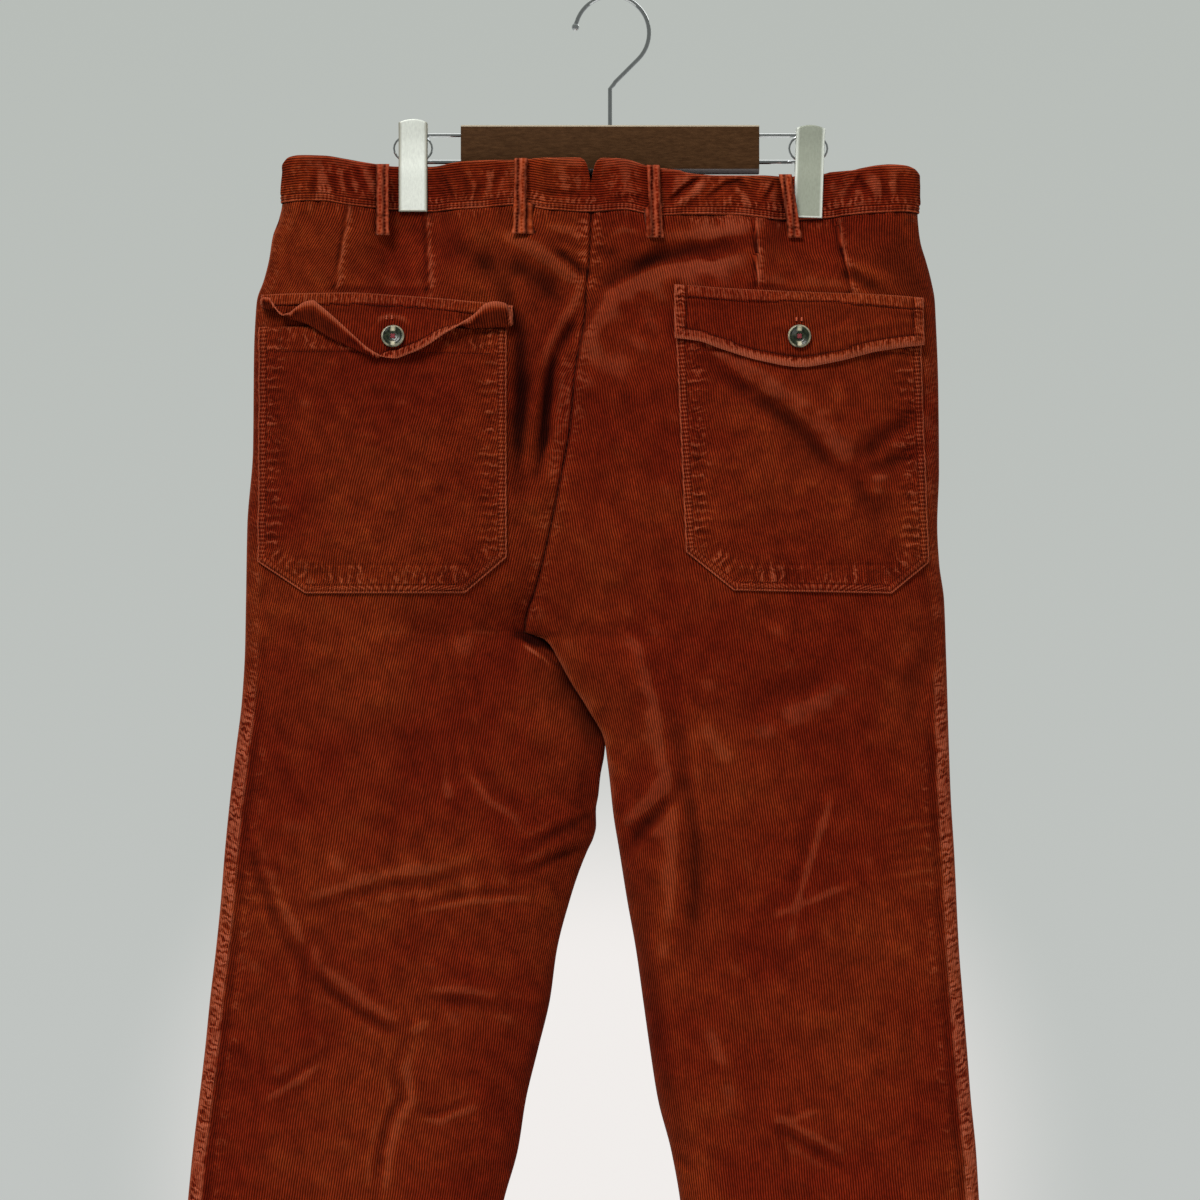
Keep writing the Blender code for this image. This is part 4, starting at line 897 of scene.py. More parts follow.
def travel(points: Array) -> Array:
    """Distance along rows of points from the first one, one column at a time."""
    steps = np.linalg.norm(np.diff(points, axis=0), axis=-1)
    return np.concatenate([np.zeros_like(steps[:1]), np.cumsum(steps, axis=0)])


def clad(piece: Object, material: Material, node: str) -> None:
    """Gives a piece its material and its body, and hides the solid that it replaces.

    Args:
        piece: The new piece.
        material: Its finish.
        node: The solid that the piece replaces.
    """
    piece.data.materials.append(material)
    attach(piece, "root")
    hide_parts(node)
    log.info("made %s", piece.name)


def weave(name: str, points: Array, layers: list[Array], thickness: float) -> Object:
    """Makes a cloth shell from a grid whose points are moved into place.

    Args:
        name: The piece's name.
        points: Outer surface in millimetres, rows by columns by X, Y and Z.
        layers: The pile's layers at each point, in the order of Nap.
        thickness: Thickness of the cloth, in millimetres.

    Returns:
        The shell, with its grain map and its layer of scuffing and painted shading.
    """
    rows, columns = points.shape[:2]
    shape = bmesh.new()
    bmesh.ops.create_grid(shape, x_segments=columns - 1, y_segments=rows - 1, size=1.0)
    mesh = to_mesh(name, shape)
    flat = np.empty(len(mesh.vertices) * 3)
    mesh.vertices.foreach_get("co", flat)
    flat = flat.reshape(-1, 3)
    column = np.rint((flat[:, 0] + 1) / 2 * (columns - 1)).astype(int)
    row = np.rint((1 - flat[:, 1]) / 2 * (rows - 1)).astype(int)
    mesh.vertices.foreach_set("co", (points[row, column] * MM).ravel())
    corners = np.empty(len(mesh.loops), int)
    mesh.loops.foreach_get("vertex_index", corners)
    place = np.stack(layers[:2], axis=-1)[row, column] * MM
    chart = mesh.uv_layers.new(name="grain")
    chart.data.foreach_set("uv", place[corners].ravel())
    for label, layer in zip(("wear", "pucker", "phase"), layers[2:]):
        mesh.attributes.new(label, "FLOAT", "POINT").data.foreach_set("value", layer[row, column])
    mesh.update()
    made = linked(name, mesh)
    mesh.shade_smooth()
    wall = made.modifiers.new("thickness", "SOLIDIFY")
    wall.thickness = thickness * MM
    wall.offset = -1.0
    wall.use_even_offset = True
    wall.thickness_clamp = 1.0
    return made


def inside_out(points: Array, outward: Array) -> bool:
    """Tells whether a grid's faces would look inwards.

    Args:
        points: Rows by columns by X, Y and Z.
        outward: A direction out of the cloth at the grid's middle.

    Returns:
        Whether the columns have to be reversed.
    """
    row, column = points.shape[0] // 2, points.shape[1] // 2
    right = points[row, column + 1] - points[row, column]
    down = points[row + 1, column] - points[row, column]
    return bool(np.dot(np.cross(down, right), outward) < 0)


def grid_normals(points: Array, outward: Array) -> Array:
    """Unit normals of a grid of points, on the side of a given direction at its middle.

    Args:
        points: The grid.
        outward: A direction out of the cloth.

    Returns:
        The normals.
    """
    right, down = np.gradient(points, axis=1), np.gradient(points, axis=0)
    normal = np.cross(down, right)
    normal /= np.maximum(np.linalg.norm(normal, axis=-1, keepdims=True), 1e-9)
    return -normal if inside_out(points, outward) else normal


def shell(name: str, points: Array, nap: Nap, thickness: float, outward: Array) -> Object:
    """Makes a cloth shell whose faces look outwards.

    Args:
        name: The piece's name.
        points: Outer surface in millimetres.
        nap: How the pile lies.
        thickness: Thickness of the cloth.
        outward: A direction out of the cloth.

    Returns:
        The shell.
    """
    layers = nap.layers(points.shape[:2])
    if inside_out(points, outward):
        points, layers = points[:, ::-1], [layer[:, ::-1] for layer in layers]
    right, down = np.diff(points, axis=1)[:-1], np.diff(points, axis=0)[:, :-1]
    area = np.linalg.norm(np.cross(right, down), axis=-1).sum() * MM**2
    log.info("%s: %.4f square metres, %d points", name, area, points.shape[0] * points.shape[1])
    return weave(name, points, layers, thickness)


def spaced(start: float, stop: float, step: float) -> Array:
    """Evenly spaced values from start to stop, about a step apart."""
    return np.linspace(start, stop, max(2, round(abs(stop - start) / step) + 1))


@dataclass(frozen=True)
class Cut:
    """The flat piece that was cut: width, length and area, in metres."""

    width: float
    length: float
    area: float

    def hang(
        self, node: str, points: Array, nap: Nap, finish: Corduroy, outward: Array, held_by: str,
        thickness: float = CLOTH,
    ) -> Object:
        """Args:
            node: The solid that it replaces.
            points: Outer surface in millimetres, rows by columns by X, Y and Z.
            nap: How the pile lies at each point.
            finish: The cloth's finish.
            outward: A direction out of the cloth at the grid's middle.
            held_by: The piece that it hangs from; not used.
            thickness: Thickness of the cloth, in millimetres.

        Returns:
            The shell.
        """
        made = shell(f"{node}_cloth", points, nap, thickness, outward)
        clad(made, finish.material, node)
        return made


def crossings(width: Array, edges: tuple[float, ...], step: float) -> Array:
    """Distances across rows of points that lie closer together near both ends.

    Args:
        width: Width of each row.
        edges: Distances from each end of the points near it.
        step: Share of the rest from one point to the next.

    Returns:
        Rows by columns.
    """
    near = np.array(edges)
    middle = near[-1] + (width[:, None] - 2 * near[-1]) * spaced(0.0, 1.0, step)[None, 1:-1]
    ends = np.broadcast_to(near, (len(width), len(near)))
    return np.concatenate([ends, middle, width[:, None] - near[::-1]], axis=1)


@dataclass
class Panel:
    """One back or front of a leg, from the waist seam to the hem."""

    leg: LegForm
    face: Face
    step: float
    low_step: float
    cut: Cut
    dart_width: float = 6.0
    hem: float = 25.0
    edges: tuple[float, ...] = (0.0, 0.3, 1.1, 2.3, 3.8, 5.6, 7.8, 10.4, 13.4)

    def grid(self) -> Pair:
        """Places across and heights of the panel's points.

        Returns:
            Places across and heights, rows by columns.
        """
        hem = HEM_Z + self.hem + 11
        stops = ((WAIST_Z, FRAMED_Z, self.step), (FRAMED_Z, hem, self.low_step), (hem, HEM_Z, 2.0))
        heights = np.concatenate([[WAIST_Z], *(spaced(*stop)[1:] for stop in stops)])
        width = np.abs(self.leg.edge(heights) - self.leg.side(heights))
        away = crossings(width, self.edges, self.step * 1.25 / 250)
        x = self.leg.side(heights)[:, None] - self.leg.outward * away
        lift = (band_seam_line(x) - WAIST_Z) * ease(1 - (WAIST_Z - heights[:, None]) / 60)
        return x, heights[:, None] + lift

    def wear(self, x: Array, z: Array, relief: Array) -> Array:
        """Scuffed pile on the seams and edges, painted highlights on the ridges and painted shade in the
        folds.

        Args:
            x, z: Places across and heights.
            relief: Height of the folds.

        Returns:
            The scuffing and painted shading at each place.
        """
        from_side = self.leg.from_side(x, z)
        low = down_leg(z)
        strip = ease((12.5 - from_side) / 2.0)
        blotches = 0.32 * low * rumple(2.0 * from_side, z, 3.4, 43)
        total = (0.05 + 0.29 * low + blotches) * strip + 0.5 * bell(from_side, 1.1)
        # A painted shadow line in the groove beside the pressed seam allowance; the hem's edge is scuffed
        # paler.
        total = total - 0.25 * low * bell(from_side - 13.5, 2.2) + 0.35 * bell(z - HEM_Z, 2.0)
        seam = x - self.leg.edge(z)
        sewn = ease((z - CROTCH_Z) / 6)
        total -= 0.75 * sewn * bell(seam, 1.0)
        # A painted highlight along the open inner edge below the crotch.
        total += 0.2 * (1 - sewn) * bell(seam, 2.0) * ease((z + 640) / 40)
        # Painted light on the ridges and painted shade in the folds of the relief.
        total = total + np.clip(0.3 * proud_of(relief, 4, 3), -0.7, 0.15) + 0.03
        if self.face is Face.BACK:
            # Painted light on one side of each dart and painted shade on the other, then the painted shade
            # table and painted shade in the creases.
            for dart in DARTS:
                away, side, _ = nearest_on(dart, x, z)
                total = total + 0.4 * bell(side * away - 1.6, 1.4) - 0.5 * bell(side * away + 0.9, 1.3)
            shades = creased(SHADES[self.leg.name], x, z)
            return total + np.clip(0.06 * creased(BACK_CREASES, x, z), -0.45, 0.04) + shades
        # Painted shade in the front's creases.
        return total + np.clip(0.06 * creased(FRONT_CREASES, x, z), -0.4, 0.03)

    def puckers(self, x: Array, z: Array) -> Pair:
        """Cross ridges at the outseam, the centre seam, the waist seam and the darts.

        Args:
            x, z: Places across and heights.

        Returns:
            Strength and phase of the ridges.
        """
        from_side = self.leg.from_side(x, z)
        from_seam = np.abs(x - self.leg.edge(z))
        low = 0.25 + 0.75 * down_leg(z)
        seam = (0.2 + 0.3 * ease((z + 225) / 20)) * ease((z - CROTCH_Z) / 10)
        rows = [
            (0.85 * low * window(from_side, 1.0, 3.0, 10.0, 13.0), (z + 0.5 * from_side) / 4.8),
            (0.3 * low * window(from_side, 13.0, 16.0, 18.0, 30.0), z / 9.0),
            (seam * window(from_seam, 1.0, 2.5, 5.0, 14.0), z / 5.6),
            (0.3 * window(band_seam_line(x) - z, 0.0, 1.5, 2.5, 10.0), x / 5.3),
            (0.5 * window(z - HEM_Z, 4.0, self.hem - 6, self.hem + 2, self.hem + 12), x / 7.0),
        ]
        if self.face is Face.BACK:
            for dart in DARTS:
                away, side, along = nearest_on(dart, x, z)
                rows.append((0.34 * np.where(side > 0, window(away, 1.0, 2.5, 4.0, 9.0), 0.0), along / 6.0))
        return strongest(*rows)

    def strip_relief(self, x: Array, z: Array) -> Array:
        """The pressed seam allowance along the outseam, drawn up across.

        Args:
            x, z: Places across and heights.

        Returns:
            Height above the panel.
        """
        from_side = self.leg.from_side(x, z)
        low = 0.35 + 0.65 * down_leg(z)
        inside = ease(from_side / 2.5) * ease((14.5 - from_side) / 2.5)
        waves = 0.3 * ripple(z + 0.4 * from_side, 3.2, 41 + self.leg.outward)
        waves = waves + 0.3 * rumple(2.0 * from_side, z, 3.4, 43)
        up = z - HEM_Z
        hem = 0.5 * ease((self.hem - up) / 2.5) - 0.8 * bell(up - self.hem, 2.0)
        hem = hem + 0.5 * ripple(x, 5.0, 45) * window(up, 3.0, self.hem - 8, self.hem + 3, self.hem + 14)
        return low * inside * (0.8 + waves) - low * 0.7 * bell(from_side - 15.0, 1.8) + hem

    def wale_place(self, points: Array) -> Array:
        """Distance across the wales, which the darts set apart above their points.

        Args:
            points: A grid of points, row by row.

        Returns:
            The distance at each point.
        """
        across = self.leg.wale_place(points)
        if self.face is Face.BACK:
            for dart in DARTS:
                (top_x, top_z), (foot_x, foot_z) = dart
                share = (points[..., 2] - foot_z) / (top_z - foot_z)
                line = foot_x + (top_x - foot_x) * share
                beyond = (points[..., 0] - line) * self.leg.outward > 0
                own = (top_x - SEAM_X) * self.leg.outward > 0
                across = across + self.leg.outward * self.dart_width * np.clip(share, 0, 1) * (beyond & own)
        return across

    def runs(self) -> Runs:
        """The row of stitches that holds the hem.

        Returns:
            One run of points and normals.
        """
        z = HEM_Z + self.hem
        x = spaced(float(self.leg.side(z)), float(self.leg.edge(z)), 1.5)[2:-2]
        points, normals = self.leg.seat(self.face, x, np.full_like(x, z))
        return [(points + normals * self.strip_relief(x, points[..., 2])[..., None], normals)]

    def build(self, finish: Corduroy) -> None:
        """Makes the panel.

        Args:
            finish: The cloth's finish.
        """
        x, z = self.grid()
        form = np.stack([x, self.leg.height(self.face, x, z), z], axis=-1)
        strip = self.strip_relief(x, z)
        points = form + grid_normals(form, self.face.way) * strip[..., None]
        points[:, 0] = form[:, 0]
        wear = self.wear(x, z, self.leg.relief(self.face, x, z) + strip)
        nap = Nap(self.wale_place(points), points[..., 2], wear, *self.puckers(x, z))
        node = f"{self.face.name.lower()}_{self.leg.name}"
        self.cut.hang(node, points, nap, finish, self.face.way, f"waistband_{self.leg.name}_cloth")


def inset(path: Path, distance: float, step: float = 1.5) -> Pair:
    """Points of a line that runs inside a broken line, on the left of its way.

    Args:
        path: The broken line's corners.
        distance: How far inside.
        step: Distance between points.

    Returns:
        Places across and heights.
    """
    corners = np.array(path, float)
    ways = np.diff(corners, axis=0)
    ways /= np.linalg.norm(ways, axis=1, keepdims=True)
    sides = np.stack([-ways[:, 1], ways[:, 0]], axis=1)
    moved = [corners[0] + sides[0] * distance]
    for corner, before, after in zip(corners[1:-1], sides, sides[1:]):
        moved.append(corner + (before + after) * distance / (1 + before @ after))
    moved.append(corners[-1] + sides[-1] * distance)
    pairs = [(a, b, max(2, int(np.linalg.norm(b - a) / step))) for a, b in zip(moved, moved[1:])]
    lines = [np.linspace(*pair)[:-1] for pair in pairs]
    line = np.concatenate(lines + [moved[-1:]])
    return line[:, 0], line[:, 1]


@dataclass
class Thread:
    """Topstitching: short stitches sunk in the cloth along runs of points."""

    colour: Triple = (0.030, 0.0032, 0.0012)
    pitch: float = 3.0
    length: float = 1.9
    radius: float = 0.3
    name: str = "thread"

    @cached_property
    def material(self) -> Material:
        """The finish as a material.

        Returns:
            The material, made at its first use.
        """
        dye = Dye(self.name, Roughness=0.7, Specular_IOR_Level=0.05)
        twist = dye.noise(dye.place(), 1400.0, 1.0)
        dye.colour(dye.mix(twist, self.colour, tuple(2.2 * part for part in self.colour)))
        return dye.material

    def stitch(self) -> bpy.types.Mesh:
        """One stitch along X.

        Returns:
            Its mesh, in millimetres.
        """
        shape = bmesh.new()
        bmesh.ops.create_cone(
            shape, cap_ends=True, segments=5, radius1=self.radius, radius2=self.radius, depth=self.length
        )
        bmesh.ops.rotate(shape, matrix=Matrix.Rotation(math.pi / 2, 3, "Y"), verts=shape.verts)
        return to_mesh("stitch", shape)

    def sew(self, name: str, runs: Runs) -> None:
        """Lays stitches along runs of points.

        Args:
            name: The piece's name.
            runs: Points and the directions out of the cloth, in millimetres.
        """
        single, shape = self.stitch(), bmesh.new()
        for points, normals in runs:
            reach = travel(points)
            count = max(1, int(reach[-1] / self.pitch))
            for spot in (np.arange(count) + 0.5) * reach[-1] / count:
                near = ((spot - 1, points), (spot, points), (spot + 1, points), (spot, normals))
                start, middle, end, out = (
                    Vector([np.interp(place, reach, part) for part in layer.T]) for place, layer in near
                )
                along = (end - start).normalized()
                side = out.cross(along).normalized()
                turn = Matrix((along, side, along.cross(side))).transposed().to_4x4()
                known = len(shape.verts)
                shape.from_mesh(single)
                shape.verts.ensure_lookup_table()
                placed = Matrix.Translation(middle) @ turn
                bmesh.ops.transform(shape, matrix=placed, verts=shape.verts[known:])
        finished(name, shape, self.material)


def finished(name: str, shape: Shape, material: Material) -> Object:
    """Turns a shape in millimetres into a piece that rides on the body.

    Args:
        name: The piece's name.
        shape: The shape.
        material: Its finish.

    Returns:
        The piece.
    """
    bmesh.ops.scale(shape, vec=(MM, MM, MM), verts=shape.verts)
    mesh = to_mesh(name, shape)
    mesh.materials.append(material)
    mesh.shade_smooth()
    mesh.set_sharp_from_angle(angle=SHARP)
    made = linked(name, mesh)
    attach(made, "root")
    log.info("made %s, %d faces", name, len(mesh.polygons))
    return made


@dataclass
class Pocket:
    """A patch pocket with cut corners, turned edges, two rows of stitches and their puckers."""

    leg: LegForm
    outer: Path
    inner: Path
    seed: int
    cut: Cut = Cut(0.186, 0.198, 0.036)
    base: float = 2.1
    rows: tuple[float, float] = (1.7, 6.1)
    stitch: float = 3.0
    brim: float = 18.5
    foot_z: float = -415.0
    edges: tuple[float, ...] = (
        0.0, 0.4, 0.9, 1.4, 2.0, 2.7, 3.5, 4.3, 5.0, 5.6, 6.2, 6.8, 7.6, 8.6, 10.0, 12.0, 14.4, 17.2,
    )

    def outline(self) -> Path:
        """The sewn edge: down the outer side, round the bottom and up the inner side."""
        return self.outer + self.inner[::-1]

    def grid(self) -> Pair:
        """Places across and heights of the pocket's points.

        Returns:
            Places across and heights, rows by columns.
        """
        levels = np.concatenate([spaced(0.0, 1.0, 0.0046), 1 + spaced(0.0, 1.0, 0.035)[1:]])
        outer, inner = (
            np.stack([np.interp(levels, (0.0, 1.0, 2.0), places) for places in zip(*side)])
            for side in (self.outer, self.inner)
        )
        width = np.abs(outer[0] - inner[0])
        share = crossings(width, self.edges, 0.021) / width[:, None]
        return tuple(outer[axis][:, None] + (inner[axis] - outer[axis])[:, None] * share for axis in (0, 1))

    def margin(self, x: Array, z: Array) -> tuple[Array, Array, Array]:
        """Distance from the sewn edge, distance along it and distance from the open top edge.

        Args:
            x, z: Places across and heights.

        Returns:
            The three distances.
        """
        away, _, along = nearest_on(self.outline(), x, z)
        (outer_x, outer_z), (inner_x, inner_z) = self.outer[0], self.inner[0]
        top = outer_z + (inner_z - outer_z) * (x - outer_x) / (inner_x - outer_x) - z
        return away, along, top

    def relief(self, x: Array, z: Array) -> Array:
        """Height above the panel: turned edges, stitched furrows and puckers.

        Args:
            x, z: Places across and heights.

        Returns:
            Height above the panel.
        """
        away, along, top = self.margin(x, z)
        total = self.base + 0.6 * ease((8.5 - away) / 2.0) + 0.9 * ease(away / 45.0)
        total = total - 0.7 * (1 - ease(away / 1.6)) - 0.5 * (1 - ease(top / 1.2))
        for row in self.rows:
            total -= 0.75 * bell(away - row, 0.8)
        beads = np.cos(math.tau * along / self.stitch) * window(away, 0.2, 1.2, 5.5, 8.0)
        wide = ripple(along, 3.4, self.seed + 1) * window(away, 5.0, 8.0, 11.0, 26.0)
        foot = ease((self.foot_z - z) / 6.0) * window(away, 6.0, 8.0, 21.0, 24.0)
        total = total + 0.25 * beads + 0.6 * wide + foot * (0.3 + 0.4 * ripple(x, 3.8, self.seed + 2))
        total -= 0.6 * bell(self.foot_z - 4.5 - z, 1.0) * ease(away / 22.0)
        total = total + 0.4 * ease((20.0 - top) / 1.6) - 0.6 * bell(top - self.brim, 1.0)
        total += 0.35 * ripple(x, 3.4, self.seed + 3) * ease((17.0 - top) / 4.0)
        total += 0.5 * rumple(x, z, 15.0, self.seed + 4)
        return total + 0.45 * rumple(x + 0.3 * z, 2.2 * z, 13.0, self.seed + 5) * ease(away / 20.0)

    def surface(self, x: Array, z: Array) -> Pair:
        """Points and normals of the pocket's outer surface."""
        points, normals = self.leg.seat(Face.BACK, x, z)
        return points + normals * self.relief(x, z)[..., None], normals

    def wear(self, x: Array, z: Array) -> Array:
        """Scuffed pile on the edges, painted highlights on the crests and painted shade in the furrows and
        folds.

        Args:
            x, z: Places across and heights.

        Returns:
            The wear at each place.
        """
        away, along, top = self.margin(x, z)
        total = 0.6 * bell(away - 0.3, 0.8) + 0.35 * bell(top, 1.0) + 0.08 * ease((9.0 - away) / 2.0)
        beads = np.cos(math.tau * along / self.stitch) * window(away, 0.4, 1.2, 5.5, 7.0)
        # Light stitch beads, with painted light on raised places and painted shade in hollows.
        total = total + 0.2 * beads + np.clip(0.34 * proud_of(self.relief(x, z), 6, 4), -0.5, 0.4)
        # Painted shade in the creases, and painted light and shade across their relief.
        folds = creased(BACK_CREASES, x, z)
        total += np.clip(0.07 * folds, -0.4, 0.08)
        return total + np.clip(0.2 * proud_of(folds, 12, 4), -0.5, 0.12)

    def puckers(self, x: Array, z: Array) -> Pair:
        """Cross ridges inside the sewn edge and on the hems.

        Args:
            x, z: Places across and heights.

        Returns:
            Strength and phase of the ridges.
        """
        away, along, top = self.margin(x, z)
        return strongest(
            (0.5 * window(away, 6.5, 8.5, 11.0, 26.0), along / 6.0),
            (0.4 * window(away, 6.5, 8.5, 21.0, 25.0) * ease((self.foot_z - z) / 5.0), x / 6.8),
            (0.42 * window(top, 0.0, 1.5, 14.0, 19.0) * ease((away - 7.0) / 3.0), x / 6.4),
        )

    def runs(self) -> Runs:
        """Stitches round the sewn edge and along the open top.

        Returns:
            Runs of points and normals.
        """
        way = self.outline() if self.leg.outward < 0 else self.outline()[::-1]
        runs = [self.surface(*inset(way, row)) for row in self.rows]
        (outer_x, outer_z), (inner_x, inner_z) = self.outer[0], self.inner[0]
        share = spaced(0.06, 0.94, 0.01)
        x, z = outer_x + (inner_x - outer_x) * share, outer_z + (inner_z - outer_z) * share
        return runs + [self.surface(x, z - self.brim)]

    def build(self, finish: Corduroy) -> None:
        """Makes the pocket.

        Args:
            finish: The cloth's finish.
        """
        x, z = self.grid()
        points, _ = self.surface(x, z)
        nap = Nap(self.leg.wale_place(points) + 0.7, z, self.wear(x, z), *self.puckers(x, z))
        name = self.leg.name
        self.cut.hang(f"pocket_{name}", points, nap, finish, Face.BACK.way, f"back_{name}_cloth")


@dataclass(frozen=True)
class FlapLine:
    """A flap's section at a place: heights and how far each point of it stands off the panel.

    The section runs from the sewn top to a crease, to the lowest point and to the free edge, which
    lies higher than the lowest point where the flap is turned back up.
    """

    x: float
    top: float
    crease: float
    crease_off: float
    low: float
    low_off: float
    edge: float
    edge_off: float


def sections(*rows: tuple[float, ...]) -> tuple[FlapLine, ...]:
    """A flap's sections from rows."""
    return tuple(FlapLine(*row) for row in rows)


LEFT_FLAP = sections(
    (-257, -220.6, -225.5, 4.6, -229.5, 8, -224.5, 9.5),
    (-254.5, -220.6, -226.5, 4.8, -231, 9, -223, 11),
    (-250.5, -220.6, -228, 5, -232, 9, -223.5, 11.5),
    (-247.5, -220.5, -229, 5, -231.5, 9, -228.5, 11),
    (-244.6, -220.5, -228.5, 5, -232.5, 9, -233.4, 11),
    (-239.8, -220.4, -229.5, 5, -234.5, 9.5, -237.2, 11),
    (-235.5, -220.4, -232, 5, -239, 8.5, -235.5, 11),
    (-227.2, -220.3, -237, 5, -241.5, 8.5, -229.2, 11),
    (-221.4, -220.3, -240, 5, -243.8, 9, -226.4, 11),
    (-217.2, -220.2, -242.5, 5, -246, 9, -226, 11),
    (-213.1, -220.2, -245, 5, -248.6, 9, -229.1, 11),
    (-204.5, -220.1, -250, 5, -253.6, 9, -236.2, 10.8),
    (-196.1, -220, -254.5, 5, -257.6, 9, -243.9, 10.5),
    (-188.7, -220, -258.5, 5, -261.2, 8.5, -251, 10),
    (-180.6, -220.4, -262, 5, -265, 8, -258.4, 9.5),
    (-171.7, -220.9, -264, 5, -267.8, 7.2, -264.6, 8.6),
    (-162.8, -221.5, -263.5, 5, -268.2, 6.4, -268.4, 7.2),
    (-156.9, -222, -261, 5, -265.6, 6.2, -268.9, 7),
    (-148, -222.5, -255, 5, -261, 6.4, -265.8, 8),
    (-138.4, -223.2, -248, 5, -255, 6.8, -261.8, 9.5),
    (-121.4, -224.6, -240, 5, -246, 7.8, -251.5, 12),
    (-110, -225.6, -238, 5, -244, 8.8, -244.5, 13.5),
    (-103.6, -226.2, -240, 5.2, -246, 9, -240, 14),
    (-97, -226.8, -241, 5.4, -246.6, 9, -234.5, 14.5),
    (-91, -227.4, -241, 5.6, -246.3, 9, -228.8, 15),
    (-84, -228, -240.5, 5.6, -245.8, 9, -227.1, 15),
    (-78, -228.6, -240, 5.4, -245.4, 8.5, -227.8, 14),
    (-74, -229, -240, 5.2, -245.6, 8, -230.8, 12.5),
    (-71.4, -229.4, -239, 4.8, -244.4, 7, -236.7, 10.5),
)
LEFT_FLAP_HEMS = ((-257.0, 3.4), (-174.0, 3.8), (-158.0, 7.4), (-128.0, 8.0), (-110.0, 5.0), (-71.0, 4.6))
LEFT_FLAP_CREASES = laid((2.6, 1.3, 1, -173, -245, -168, -239, -160, -236, -152, -239, -147, -245))
RIGHT_FLAP = sections(
    (47.2, -213.9, -235, 4.8, -245, 5.4, -253.7, 6.4),
    (64.4, -215.2, -236, 4.8, -247, 5.2, -255.9, 5.8),
    (77.6, -216.2, -238, 4.8, -250, 5, -260.7, 5.4),
    (111.5, -218, -243, 4.9, -258, 4.9, -270.8, 5.2),
    (138.7, -219, -246, 4.9, -262, 4.9, -275.1, 5.2),
    (162.5, -219.9, -244, 4.9, -259, 4.9, -271.7, 5.2),
    (196.5, -221.2, -240, 4.9, -252, 5, -263.2, 5.4),
    (216, -222.2, -238, 4.8, -249, 5.2, -260, 5.8),
    (230.6, -223.2, -237, 4.8, -248, 5.4, -258.1, 6.4),
)
RIGHT_FLAP_CREASES = laid(
    (3.6, -1.5, 1.4, 163, -246, 172, -238, 181, -232),
    (3, 1.1, 1, 168, -248, 190, -245, 218, -240),
    (3.5, -0.7, 1, 112, -246, 124, -250, 134, -252),
    (3, -0.6, 1, 150, -262, 165, -264, 180, -262),
    (7, -0.8, 1, 56, -232, 90, -236, 124, -238),
)


